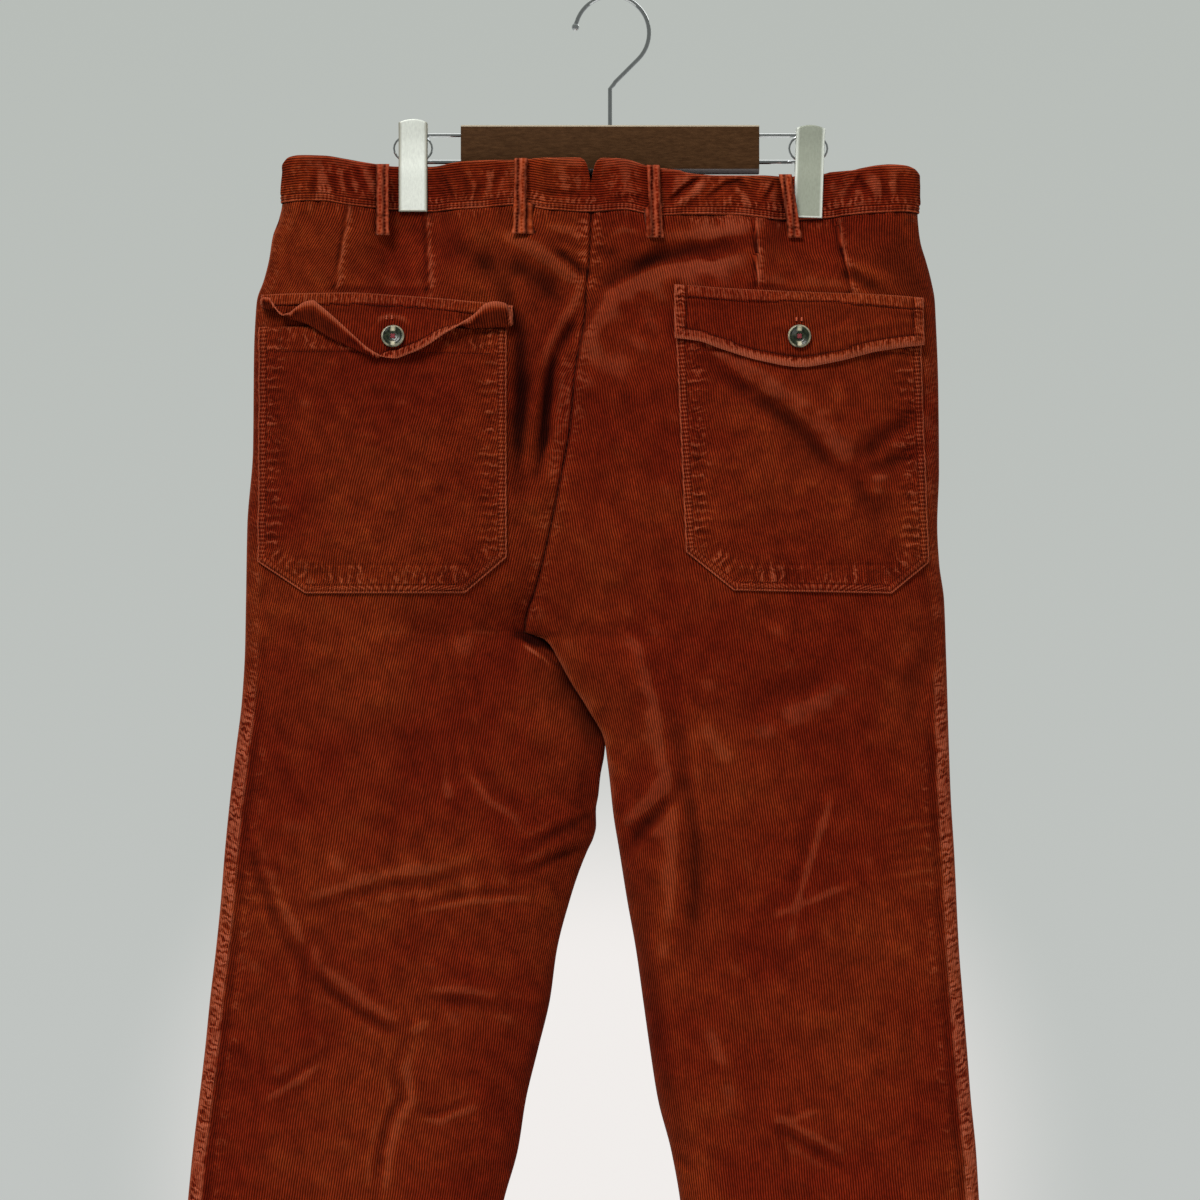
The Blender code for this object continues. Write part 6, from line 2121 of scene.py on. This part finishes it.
@dataclass
class Button:
    """A turned four-hole button with a raised rim, sewn on with crossed thread."""

    side: str
    radius: float = 8.5
    steps: int = 56
    hole: float = 0.85
    hole_out: float = 1.75
    profile: Path = (
        (0.0, 0.0), (7.0, 0.0), (7.9, 0.25), (8.45, 0.9), (8.5, 1.5), (8.2, 2.25), (7.6, 2.72), (7.1, 2.8),
        (6.6, 2.66), (6.2, 2.3), (5.6, 2.0), (4.4, 1.9), (3.9, 1.72), (3.4, 1.5), (0.0, 1.45),
    )

    def turned(self) -> Shape:
        """The plain button, centred and facing +Z.

        Returns:
            Its shape, in millimetres.
        """
        shape = bmesh.new()
        ring = [shape.verts.new((radius, 0.0, height)) for radius, height in self.profile]
        edges = [shape.edges.new(pair) for pair in zip(ring, ring[1:])]
        bmesh.ops.spin(
            shape, geom=ring + edges, cent=(0, 0, 0), axis=(0, 0, 1), angle=math.tau, steps=self.steps,
            use_merge=True,
        )
        bmesh.ops.remove_doubles(shape, verts=shape.verts, dist=0.001)
        bmesh.ops.recalc_face_normals(shape, faces=shape.faces)
        return shape

    def drilled(self, horn: Material) -> Object:
        """The button with its four holes.

        Args:
            horn: The button's finish.

        Returns:
            The button, not yet in its place.
        """
        disc = finished(f"button_{self.side}_horn", self.turned(), horn)
        drills = bmesh.new()
        for turn in range(4):
            angle = math.pi / 4 + turn * math.pi / 2
            centre = (self.hole_out * math.cos(angle), self.hole_out * math.sin(angle), 1.5)
            bmesh.ops.create_cone(
                drills, cap_ends=True, segments=14, radius1=self.hole, radius2=self.hole, depth=6.0,
                matrix=Matrix.Translation(centre),
            )
        bmesh.ops.scale(drills, vec=(MM, MM, MM), verts=drills.verts)
        tool = linked("drill", to_mesh("drill", drills))
        cut = disc.modifiers.new("holes", "BOOLEAN")
        cut.object = tool
        depsgraph = bpy.context.evaluated_depsgraph_get()
        mesh = bpy.data.meshes.new_from_object(disc.evaluated_get(depsgraph))
        disc.modifiers.clear()
        disc.data = mesh
        bpy.data.objects.remove(tool)
        return disc

    def place(self, seat: Array, normal: Array) -> Matrix:
        """Where the button goes: centre and tilt.

        Args:
            seat: Where the middle of its back lies, in millimetres.
            normal: The way it faces.

        Returns:
            The move.
        """
        way, top = Vector(normal), Vector((0.0, 0.0, 1.0))
        turn = top.rotation_difference(way)
        level = top - way * normal[2]
        up = turn.to_matrix() @ Vector((0.0, 1.0, 0.0))
        roll = Matrix.Rotation(up.angle(level), 4, way)
        if (roll.to_3x3() @ up).angle(level) > 0.02:
            roll = Matrix.Rotation(-up.angle(level), 4, way)
        return Matrix.Translation(Vector(seat) * MM) @ roll @ turn.to_matrix().to_4x4()

    def build(self, seat: Array, normal: Array, horn: Horn, thread: Thread) -> None:
        """Makes the button and its thread.

        Args:
            seat: Where the middle of its back lies, in millimetres.
            normal: The way it faces.
            horn: The button's finish.
            thread: The finish of the sewing thread.
        """
        disc = self.drilled(horn.material)
        chart = disc.data.uv_layers.new(name="disc")
        for loop, corner in zip(disc.data.loops, chart.data):
            corner.uv = disc.data.vertices[loop.vertex_index].co.xy
        place = self.place(seat, normal)
        disc.data.transform(place)
        disc.data.set_sharp_from_angle(angle=SHARP)
        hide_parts(f"button_{self.side}")
        shape = bmesh.new()
        for angle in (math.pi / 4, -math.pi / 4):
            for aside in (-0.4, 0.4):
                known = len(shape.verts)
                bmesh.ops.create_cone(shape, cap_ends=True, segments=8, radius1=0.45, radius2=0.45, depth=3.9)
                shape.verts.ensure_lookup_table()
                turn = Matrix.Rotation(angle, 4, "Z") @ Matrix.Translation((0.0, aside, 1.75))
                turn = turn @ Matrix.Rotation(math.pi / 2, 4, "Y")
                bmesh.ops.transform(shape, matrix=turn, verts=shape.verts[known:])
        bmesh.ops.create_cone(
            shape, cap_ends=True, segments=10, radius1=1.5, radius2=1.2, depth=1.6,
            matrix=Matrix.Translation((0.0, 0.0, -0.75)),
        )
        finished(f"button_{self.side}_thread", shape, thread.material).data.transform(place)


@dataclass(frozen=True)
class Wood:
    """Dark stained bar with a painted highlight on its upper edge and a painted grey reflection on its lower
    bevel.
    """

    dark: Triple = (0.040, 0.0175, 0.0068)
    light: Triple = (0.082, 0.038, 0.0155)
    pale_edge: Triple = (0.50, 0.42, 0.30)
    chamfer_reflection: Triple = (0.33, 0.30, 0.30)

    def material(self, bar_top: float, bar_bottom: float) -> Material:
        """The finish as a material, for a bar between two heights in millimetres.

        Args:
            bar_top: Height of the bar's top.
            bar_bottom: Height of its bottom.

        Returns:
            The material.
        """
        dye = Dye("wood", Roughness=0.55, Specular_IOR_Level=0.03)
        fibre = dye.noise(dye.place((1.0, 3.0, 4.0)), 160.0, 6.0, 0.7)
        pore = dye.noise(dye.place((3.0, 60.0, 60.0)), 40.0, 2.0, 0.6)
        figure = dye.remap(fibre, 0.32, 0.7, 0.0, 1.0)
        body = dye.mix(figure, self.dark, self.light)
        body = dye.mix(dye.remap(pore, 0.56, 0.66, 0.0, 0.6), body, self.dark)
        height = dye.node("SeparateXYZ", {0: dye.place()}).outputs[2]
        # Painted highlight along the top edge and painted reflection of the pale surround on the lower bevel.
        upper = dye.remap(height, (bar_top - 1.3) * MM, (bar_top - 0.8) * MM, 0.0, 0.9)
        lower = dye.remap(height, (bar_bottom + 3.6) * MM, (bar_bottom + 3.1) * MM, 0.0, 0.85)
        body = dye.mix(upper, body, self.pale_edge)
        dye.colour(dye.mix(lower, body, self.chamfer_reflection))
        dye.bump(dye.sum("ADD", fibre, pore), 0.00025, 0.5)
        return dye.material


@dataclass(frozen=True)
class Metal:
    """Bright or brushed metal, with a colour painted along a plate's edges as rim light and shade."""

    name: str
    colour: Triple
    roughness: float
    brushed: float = 0.0
    metallic: float = 1.0
    rim: Triple = (0.8, 0.8, 0.8)

    @cached_property
    def material(self) -> Material:
        """The finish as a material.

        Returns:
            The material, made at its first use.
        """
        dye = Dye(self.name, Roughness=self.roughness, Metallic=self.metallic)
        speck = dye.noise(dye.place((1.0, 1.0, 0.35)), 900.0, 3.0, 0.6)
        dark = tuple(0.84 * part for part in self.colour)
        tone = dye.mix(dye.remap(speck, 0.3, 0.7, 0.0, 1.0), dark, self.colour)
        # Painted rim light and shade along the plate's edges.
        dye.colour(dye.mix(dye.layer("wear"), tone, self.rim))
        if self.brushed:
            dye.bump(speck, 0.0001, self.brushed)
        return dye.material


@dataclass(frozen=True)
class PlateRow:
    """A clip plate at a distance from its top: outer face in Y and depth of its turned sides."""

    down: float
    outer: float
    flange: float


@dataclass
class ClipPlate:
    """One pressed plate of a clip: a shallow channel with turned sides and a crowned top."""

    side: str
    face: Face
    x: float
    top: float
    tilt: float
    width: float = 21.2
    length: float = 68.4
    sheet: float = 1.0
    bend: float = 1.1
    crown: float = 2.6
    rows: tuple[PlateRow, ...] = (
        PlateRow(0.0, 7.4, 2.6), PlateRow(5.0, 6.7, 2.4), PlateRow(7.6, 6.2, 1.6), PlateRow(18.0, 5.0, 1.6),
        PlateRow(26.0, 4.95, 1.6), PlateRow(42.0, 5.65, 1.9), PlateRow(68.4, 5.65, 1.9),
    )

    def points(self) -> Array:
        """The plate's outer surface.

        Returns:
            Rows by columns by X, Y and Z.
        """
        half = self.width / 2
        turns = np.radians(spaced(0.0, 90.0, 15.0))
        corner = half - self.bend + self.bend * np.sin(turns)
        fall = self.bend * (1 - np.cos(turns))
        flat = spaced(-(half - self.bend), half - self.bend, 1.6)
        across = np.concatenate([[-half], -corner[::-1], flat[1:-1], corner, [half]])
        drop = np.concatenate([[1.0], fall[::-1], np.zeros(len(flat) - 2), fall, [1.0]])
        ends = [row.down for row in self.rows]
        lip = np.array((0.0, 0.25, 0.6, 1.0, 1.5))
        down = np.concatenate([lip, spaced(1.5, self.length - 1.5, 1.6)[1:-1], self.length - lip[::-1]])
        outer = Smooth(ends, [row.outer for row in self.rows])(down)[:, None]
        flange = Smooth(ends, [row.flange for row in self.rows])(down)[:, None]
        edge = np.minimum(down, self.length - down)[:, None]
        outer = outer - 0.75 * (1 - round_off(edge / 1.0, 2.0))
        tips = np.zeros_like(across)
        tips[[0, -1]] = 1.0
        depth = outer - np.where(tips > 0, flange, drop)
        crown = self.crown * (across / half) ** 2 * ease(1 - down[:, None] / 12.0)
        x = self.x + across + 0 * down[:, None]
        return np.stack([x, self.face.value * depth, self.top - down[:, None] - crown], axis=-1)

    def build(self, steel: Metal) -> None:
        """Makes the plate.

        Args:
            steel: The plate's finish.
        """
        points = self.points()
        pivot = Vector((self.x, 0.0, self.top - self.length * 0.8))
        node = f"clip_{self.side}_{self.face.name.lower()}"
        flat = np.zeros(points.shape[:2])
        from_side = self.width / 2 - np.abs(points[..., 0] - self.x)
        from_rim = np.minimum(from_side, points[..., 2] - points[..., 2].min())
        # The plate's edges carry the painted rim light and shade.
        nap = Nap(points[..., 0], points[..., 2], ease((1.5 - from_rim) / 0.6), flat, flat)
        made = shell(f"{node}_plate", points, nap, self.sheet, self.face.way)
        turn = Matrix.Rotation(math.radians(self.tilt), 4, "Y")
        made.data.transform(Matrix.Translation(pivot * MM) @ turn @ Matrix.Translation(-pivot * MM))
        clad(made, steel.material, node)


@dataclass
class Hanger:
    """The bar between the clips; the hook, the wires and the springs keep their solids."""

    length: float = 220.6
    depth: float = 11.0
    top: float = -94.6
    bottom: float = -130.4
    lower_edge: float = 3.4
    plates: tuple[tuple[str, float, float, float], ...] = (
        ("left", GRIP.left, -90.2, 0.0), ("right", GRIP.right, -94.6, 2.0),
    )

    def bar(self, material: Material) -> None:
        """The wooden bar with eased edges.

        Args:
            material: The bar's finish.
        """
        shape = bmesh.new()
        middle = (self.top + self.bottom) / 2
        bmesh.ops.create_cube(shape, size=1.0)
        bmesh.ops.scale(shape, vec=(self.length, self.depth, self.top - self.bottom), verts=shape.verts)
        bmesh.ops.translate(shape, vec=(0.0, 0.0, middle), verts=shape.verts)
        low = [edge for edge in shape.edges if all(v.co.z < middle for v in edge.verts)]
        long_low = [edge for edge in low if abs(edge.verts[0].co.x - edge.verts[1].co.x) > 1]
        bmesh.ops.bevel(
            shape, geom=long_low, offset=self.lower_edge, segments=1, profile=0.5, affect="EDGES", material=-1
        )
        sharp = [edge for edge in shape.edges if edge.calc_face_angle(0.0) > 0.5]
        bmesh.ops.bevel(shape, geom=sharp, offset=0.7, segments=3, profile=0.5, affect="EDGES", material=-1)
        made = finished("hanger_bar_wood", shape, material)
        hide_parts("hanger_bar")

    def build(self) -> None:
        """Makes the bar and plates and dresses the wires."""
        self.bar(Wood().material(self.top, self.bottom))
        # A lit and a shaded copy of one steel: the left clip painted near white with a painted dark rim, the
        # right painted darker with a painted bright rim.
        steels = {
            "left": Metal("clip_steel", (0.86, 0.90, 0.82), 0.5, 0.2, 0.25, (0.36, 0.35, 0.28)),
            "right": Metal("clip_steel_shaded", (0.36, 0.39, 0.31), 0.5, 0.3, 0.3, (0.80, 0.84, 0.76)),
        }
        chrome = Metal("chrome", (0.80, 0.82, 0.83), 0.12)
        for side, x, top, tilt in self.plates:
            for face in Face:
                ClipPlate(side, face, x, top, tilt).build(steels[side])
        kept = [name for side in steels for name in (f"hanger_wire_{side}", f"clip_{side}_spring")]
        for name in ("hanger_hook", *kept):
            mesh = bpy.data.objects[name].data
            mesh.materials.clear()
            mesh.materials.append(chrome.material)
            mesh.shade_smooth()


@dataclass(frozen=True)
class Studio:
    """Camera, lights, floor and surrounding light."""

    distance: float = 3.0
    aim: Triple = (-0.0074, 0.0, -0.4454)
    framed: float = 0.888
    sensor: float = 36.0
    floor_z: float = -1.36
    floor_radius: float = 1.6
    surround: float = 0.8
    room: float = 0.3
    key: float = 3.0
    soft: float = math.radians(22.0)
    warm: Triple = (1.0, 0.985, 0.97)
    key_way: Triple = (-0.42, -0.9, 1.0)
    glow_way: Triple = (0.0, 0.989, -0.14)
    greys: tuple[tuple[float, Triple], ...] = ((0.36, (0.56, 0.58, 0.57)), (0.60, (0.47, 0.50, 0.47)))
    pale: Triple = (0.88, 0.85, 0.83)

    def camera(self) -> None:
        """A level camera straight behind the trousers."""
        data = bpy.data.cameras.new("camera")
        data.sensor_width = self.sensor
        data.lens = self.sensor * self.distance / self.framed
        made = linked("camera", data)
        made.location = Vector(self.aim) + Vector((0.0, -self.distance, 0.0))
        made.rotation_euler = (math.pi / 2, 0.0, 0.0)
        bpy.context.scene.camera = made

    def light(self, name: str, kind: str, energy: float, spot: Triple, aim: Triple, **more: object) -> None:
        """Adds a light.

        Args:
            name: The light's name.
            kind: Its type.
            energy: Its power.
            spot: Where it stands.
            aim: Where it looks.
            more: Its other properties.
        """
        data = bpy.data.lights.new(name, kind)
        data.energy = energy
        for setting, value in more.items():
            setattr(data, setting, value)
        made = linked(name, data)
        made.location = spot
        made.rotation_euler = (Vector(aim) - Vector(spot)).to_track_quat("-Z", "Y").to_euler()

    def world(self) -> None:
        """A pale grey surround, a little lighter low behind the trousers and brighter for the camera."""
        world = bpy.data.worlds.new("surround")
        world.use_nodes = True
        bpy.context.scene.world = world
        sky = Nodes(world.node_tree)
        where = sky.node("TexCoord").outputs["Generated"]
        _, depth, height = sky.node("SeparateXYZ", {0: where}).outputs
        ramp = sky.node("ValToRGB", {0: sky.sum("MULTIPLY_ADD", height, 0.5, 0.5)})
        for element, (place, grey) in zip(ramp.color_ramp.elements, self.greys):
            element.position = place
            element.color = (*grey, 1.0)
        away = sky.node("VectorMath", {0: where, 1: self.glow_way}, operation="DISTANCE").outputs["Value"]
        glow = sky.remap(away, 0.05, 0.125, 1.0, 0.0, interpolation_type="SMOOTHSTEP")
        room = sky.remap(depth, -0.3, 0.5, self.room, self.surround)
        seen = sky.node("LightPath").outputs["Is Camera Ray"]
        colour, strength = sky.mix(glow, ramp.outputs[0], self.pale), sky.remap(seen, 0.0, 1.0, room, 1.0)
        sky.feed(world.node_tree.nodes["Background"], {"Color": colour, "Strength": strength})

    def floor(self) -> None:
        """A plain pale floor below the hems."""
        shape = bmesh.new()
        bmesh.ops.create_circle(shape, cap_ends=True, segments=96, radius=self.floor_radius)
        bmesh.ops.translate(shape, vec=(0.0, 0.0, self.floor_z), verts=shape.verts)
        mesh = to_mesh("floor", shape)
        dye = Dye("floor_paint", Roughness=0.8)
        dye.colour(dye.mix(dye.noise(dye.place(), 3.0), (0.62, 0.63, 0.62), (0.68, 0.68, 0.67)))
        mesh.materials.append(dye.material)
        linked("floor", mesh)

    def build(self) -> None:
        """Sets the whole studio."""
        bpy.context.scene.view_settings.view_transform = "Standard"
        self.camera()
        self.light("key_light", "SUN", self.key, self.key_way, (0, 0, 0), angle=self.soft, color=self.warm)
        self.light("fill_light", "AREA", 22.0, (1.7, -2.4, -0.9), self.aim, size=1.6)
        self.light("back_light", "AREA", 18.0, (0.4, 2.4, 0.8), self.aim, size=1.8)
        self.world()
        self.floor()


def main() -> None:
    """Builds the pieces in order."""
    logging.basicConfig(level=logging.INFO, format="%(message)s")
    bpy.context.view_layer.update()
    Hanger().build()
    cloth, pocket_cloth, band_cloth = map(Corduroy, ("corduroy", "pocket_corduroy", "band_corduroy"))
    sides = ((Face.BACK, 2.3, 5.0, Cut(0.31, 1.09, 0.26)), (Face.FRONT, 4.0, 6.0, Cut(0.3, 1.09, 0.25)))
    bands = [Waistband(leg) for leg in LEGS]
    panels = [Panel(leg, *side) for leg in LEGS for side in sides]
    flaps = [
        Flap(LEFT, LEFT_FLAP, LEFT_FLAP_CREASES, 61, hole=(-162.0, -239.3), hems=LEFT_FLAP_HEMS),
        Flap(RIGHT, RIGHT_FLAP, RIGHT_FLAP_CREASES, 66),
    ]
    laps = [Fly()]
    patches = [*POCKETS, *flaps]
    for finish, pieces in (
        (band_cloth, bands), (cloth, panels), (pocket_cloth, patches), (band_cloth, LOOPS), (cloth, laps)
    ):
        for piece in pieces:
            piece.build(finish)
    thread = Thread()
    stitched = {"band": bands, "pocket": POCKETS, "flap": flaps, "fly": laps, "hem": panels}
    for name, group in stitched.items():
        thread.sew(f"{name}_stitches", [run for piece in group for run in piece.runs()])
    slits, bars = zip(*(flap.buttonhole() for flap in flaps))
    thread.sew("buttonhole_slits", sum(slits, []))
    bar = Thread((0.30, 0.062, 0.03), pitch=3.2, length=2.8, radius=0.62, name="buttonhole_thread")
    bar.sew("buttonhole_bars", sum(bars, []))
    horn, button_thread = Horn(), Thread((0.13, 0.026, 0.03), name="button_thread")
    for flap, spot in zip(flaps, ((-159.6, -252.4), (138.4, -255.2))):
        Button(flap.leg.name).build(*flap.carry(*spot, 0.7), horn, button_thread)
    waist_y = float(LEFT.height(Face.FRONT, np.array(-4.0), np.array(BAND_Z), False)) + 2.1
    Button("waist").build(np.array((-4.0, waist_y, BAND_Z)), Face.FRONT.way, horn, button_thread)
    Studio().build()


if __name__ == "__main__":
    main()
